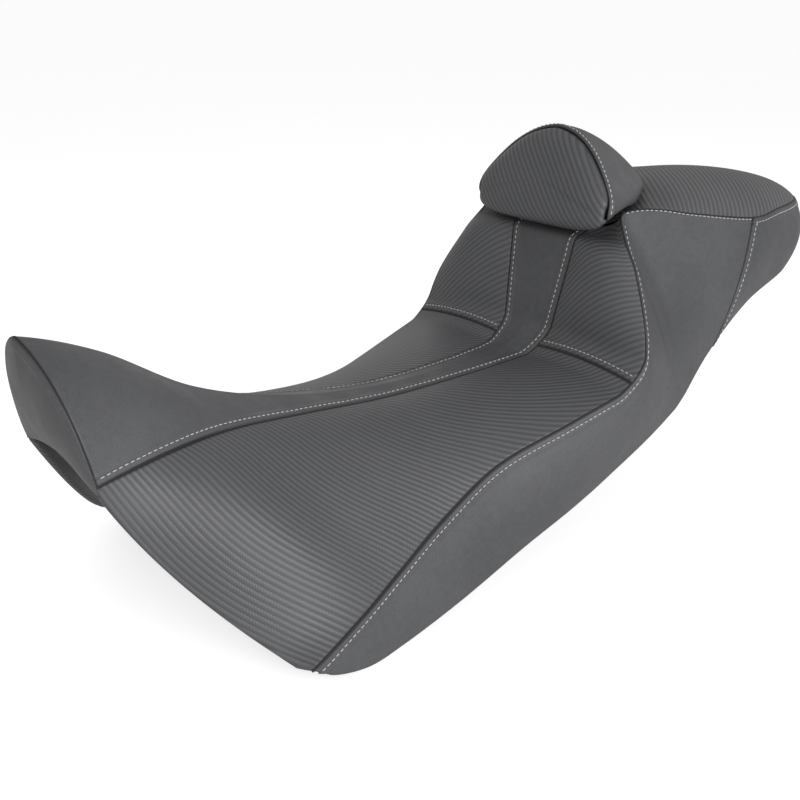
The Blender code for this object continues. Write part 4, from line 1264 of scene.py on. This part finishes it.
def pad_underside(look):
    """The face's vinyl carried on under the pad, towards the hinge."""
    loop = pad_outline()
    lower = loop[(loop[:, 2] < PAD_UNDER_HEIGHT) & (loop[:, 0] >= 0)]
    front = lower[np.argsort(lower[:, 0])]
    rear = dense(PAD_UNDER_REAR, len(front))[::-1]
    bulge = np.tile(PAD_UNDER_BULGE, (len(front), 1))
    grid = np.swapaxes(ruled(front, rear, bulge, PAD_UNDER_SAMPLES), 0, 1)
    whole = mirrored(grid)
    weave = np.stack([whole[..., 0], whole[..., 2] - whole[..., 1]], axis=-1)
    bare = Bare(whole[::-1], weave[::-1], np.zeros(whole.shape[:2]))
    obj = panel_object("pad_underside_vinyl", bare, ribs=RIBS["pad"])
    place(obj, look, "pad", "carbon_look_vinyl", (), 0.8)


# ---- foam, hardware, stage


def foam_piece(node, body, look):
    """The foam block, its CAD solid remeshed and softened."""
    obj = new_object(node + "_block", frame["nodes"][node].data.copy())
    remesh = obj.modifiers.new("Remesh", "REMESH")
    remesh.mode = "VOXEL"
    remesh.voxel_size = FOAM_VOXEL
    remesh.use_smooth_shade = True
    soften = obj.modifiers.new("Soften", "SMOOTH")
    soften.iterations = FOAM_SOFTENING
    place(obj, look, body, "seat_foam", [node], 1.0)


def finish_hardware(looks):
    """Better materials and softened edges on the CAD nodes that stay."""
    slots = {s["node"]: s["material_slot"] for s in frame["record"]["subparts"]}
    for name, node in frame["nodes"].items():
        look = looks.get(slots[name])
        if look is None or node.hide_render:
            continue
        dress(node, look)
        if name == "base_pan":
            node.data.shade_smooth()
            continue
        edge = node.modifiers.new("Edges", "BEVEL")
        edge.width = METAL_EDGE
        edge.segments = 2
        edge.limit_method = "ANGLE"
        edge.angle_limit = math.radians(METAL_EDGE_ANGLE)
        node.data.shade_smooth()
        node.data.set_sharp_from_angle(angle=math.radians(SHARP_ANGLE))


def make_stage(look):
    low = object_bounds()[0].z
    bpy.ops.mesh.primitive_plane_add(size=80, location=(0, 0, low - 0.001))
    floor = bpy.context.object
    floor.name = "studio_floor"
    dress(floor, look)
    floor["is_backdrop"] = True


def aim_at(obj, at, aim):
    obj.location = at
    obj.rotation_euler = (Vector(aim) - Vector(at)).to_track_quat("-Z", "Y").to_euler()


def area_light(name, at, size, watts):
    lamp = bpy.data.lights.new(name, "AREA")
    lamp.shape = "RECTANGLE"
    lamp.size, lamp.size_y = size
    lamp.energy = watts
    aim_at(new_object(name, lamp), at, LIGHT_AIM)


def make_world():
    """A white backdrop that lights the seat less than it shows."""
    look = bpy.data.worlds.new("studio")
    look.use_nodes = True
    nodes, links = look.node_tree.nodes, look.node_tree.links
    background = nodes["Background"]
    background.inputs["Color"].default_value = (1, 1, 1, 1)
    path = nodes.new("ShaderNodeLightPath")
    strength = nodes.new("ShaderNodeMapRange")
    strength.inputs["To Min"].default_value = AMBIENT
    strength.inputs["To Max"].default_value = 1.0
    links.new(path.outputs["Is Camera Ray"], strength.inputs["Value"])
    links.new(strength.outputs["Result"], background.inputs["Strength"])
    bpy.context.scene.world = look


def make_lights():
    make_world()
    for name, (at, size, watts) in LIGHTS.items():
        area_light(name, at, size, watts)
    bpy.context.scene.view_settings.view_transform = "Standard"


def make_camera():
    data = bpy.data.cameras.new("camera")
    data.lens = LENS
    data.sensor_width = 36
    data.clip_start = 0.01
    camera = new_object("camera", data)
    aim_at(camera, CAMERA_AT, CAMERA_AIM)
    bpy.context.scene.camera = camera


def main():
    looks = {
        "plain": plain_vinyl(),
        "carbon": carbon_vinyl(),
        "thread": thread(),
        "fold": painted_shade_fold_material(),
        "seat_foam": foam_material(),
        "moulded_plastic": moulded_plastic(),
        "rubber": rubber_material(),
        "zinc_plated_steel": zinc(),
        "black_coated_steel": black_steel(),
    }
    grids = seat_grids()
    swelling = swellings(grids)
    flaps = make_covers(grids, swelling, looks)
    both = flaps + [(line * (-1, 1, 1), normal * (-1, 1, 1)) for line, normal in flaps]
    place(staples("hem_staples", both), looks["zinc_plated_steel"], "seat", "zinc_plated_steel")
    make_pad(grids, swelling, looks)
    foam_piece("driver_foam", "seat", looks["seat_foam"])
    foam_piece("passenger_foam", "seat", looks["seat_foam"])
    foam_piece("pad_foam", "pad", scrim())
    finish_hardware(looks)
    make_stage(floor_material())
    make_lights()
    make_camera()


main()
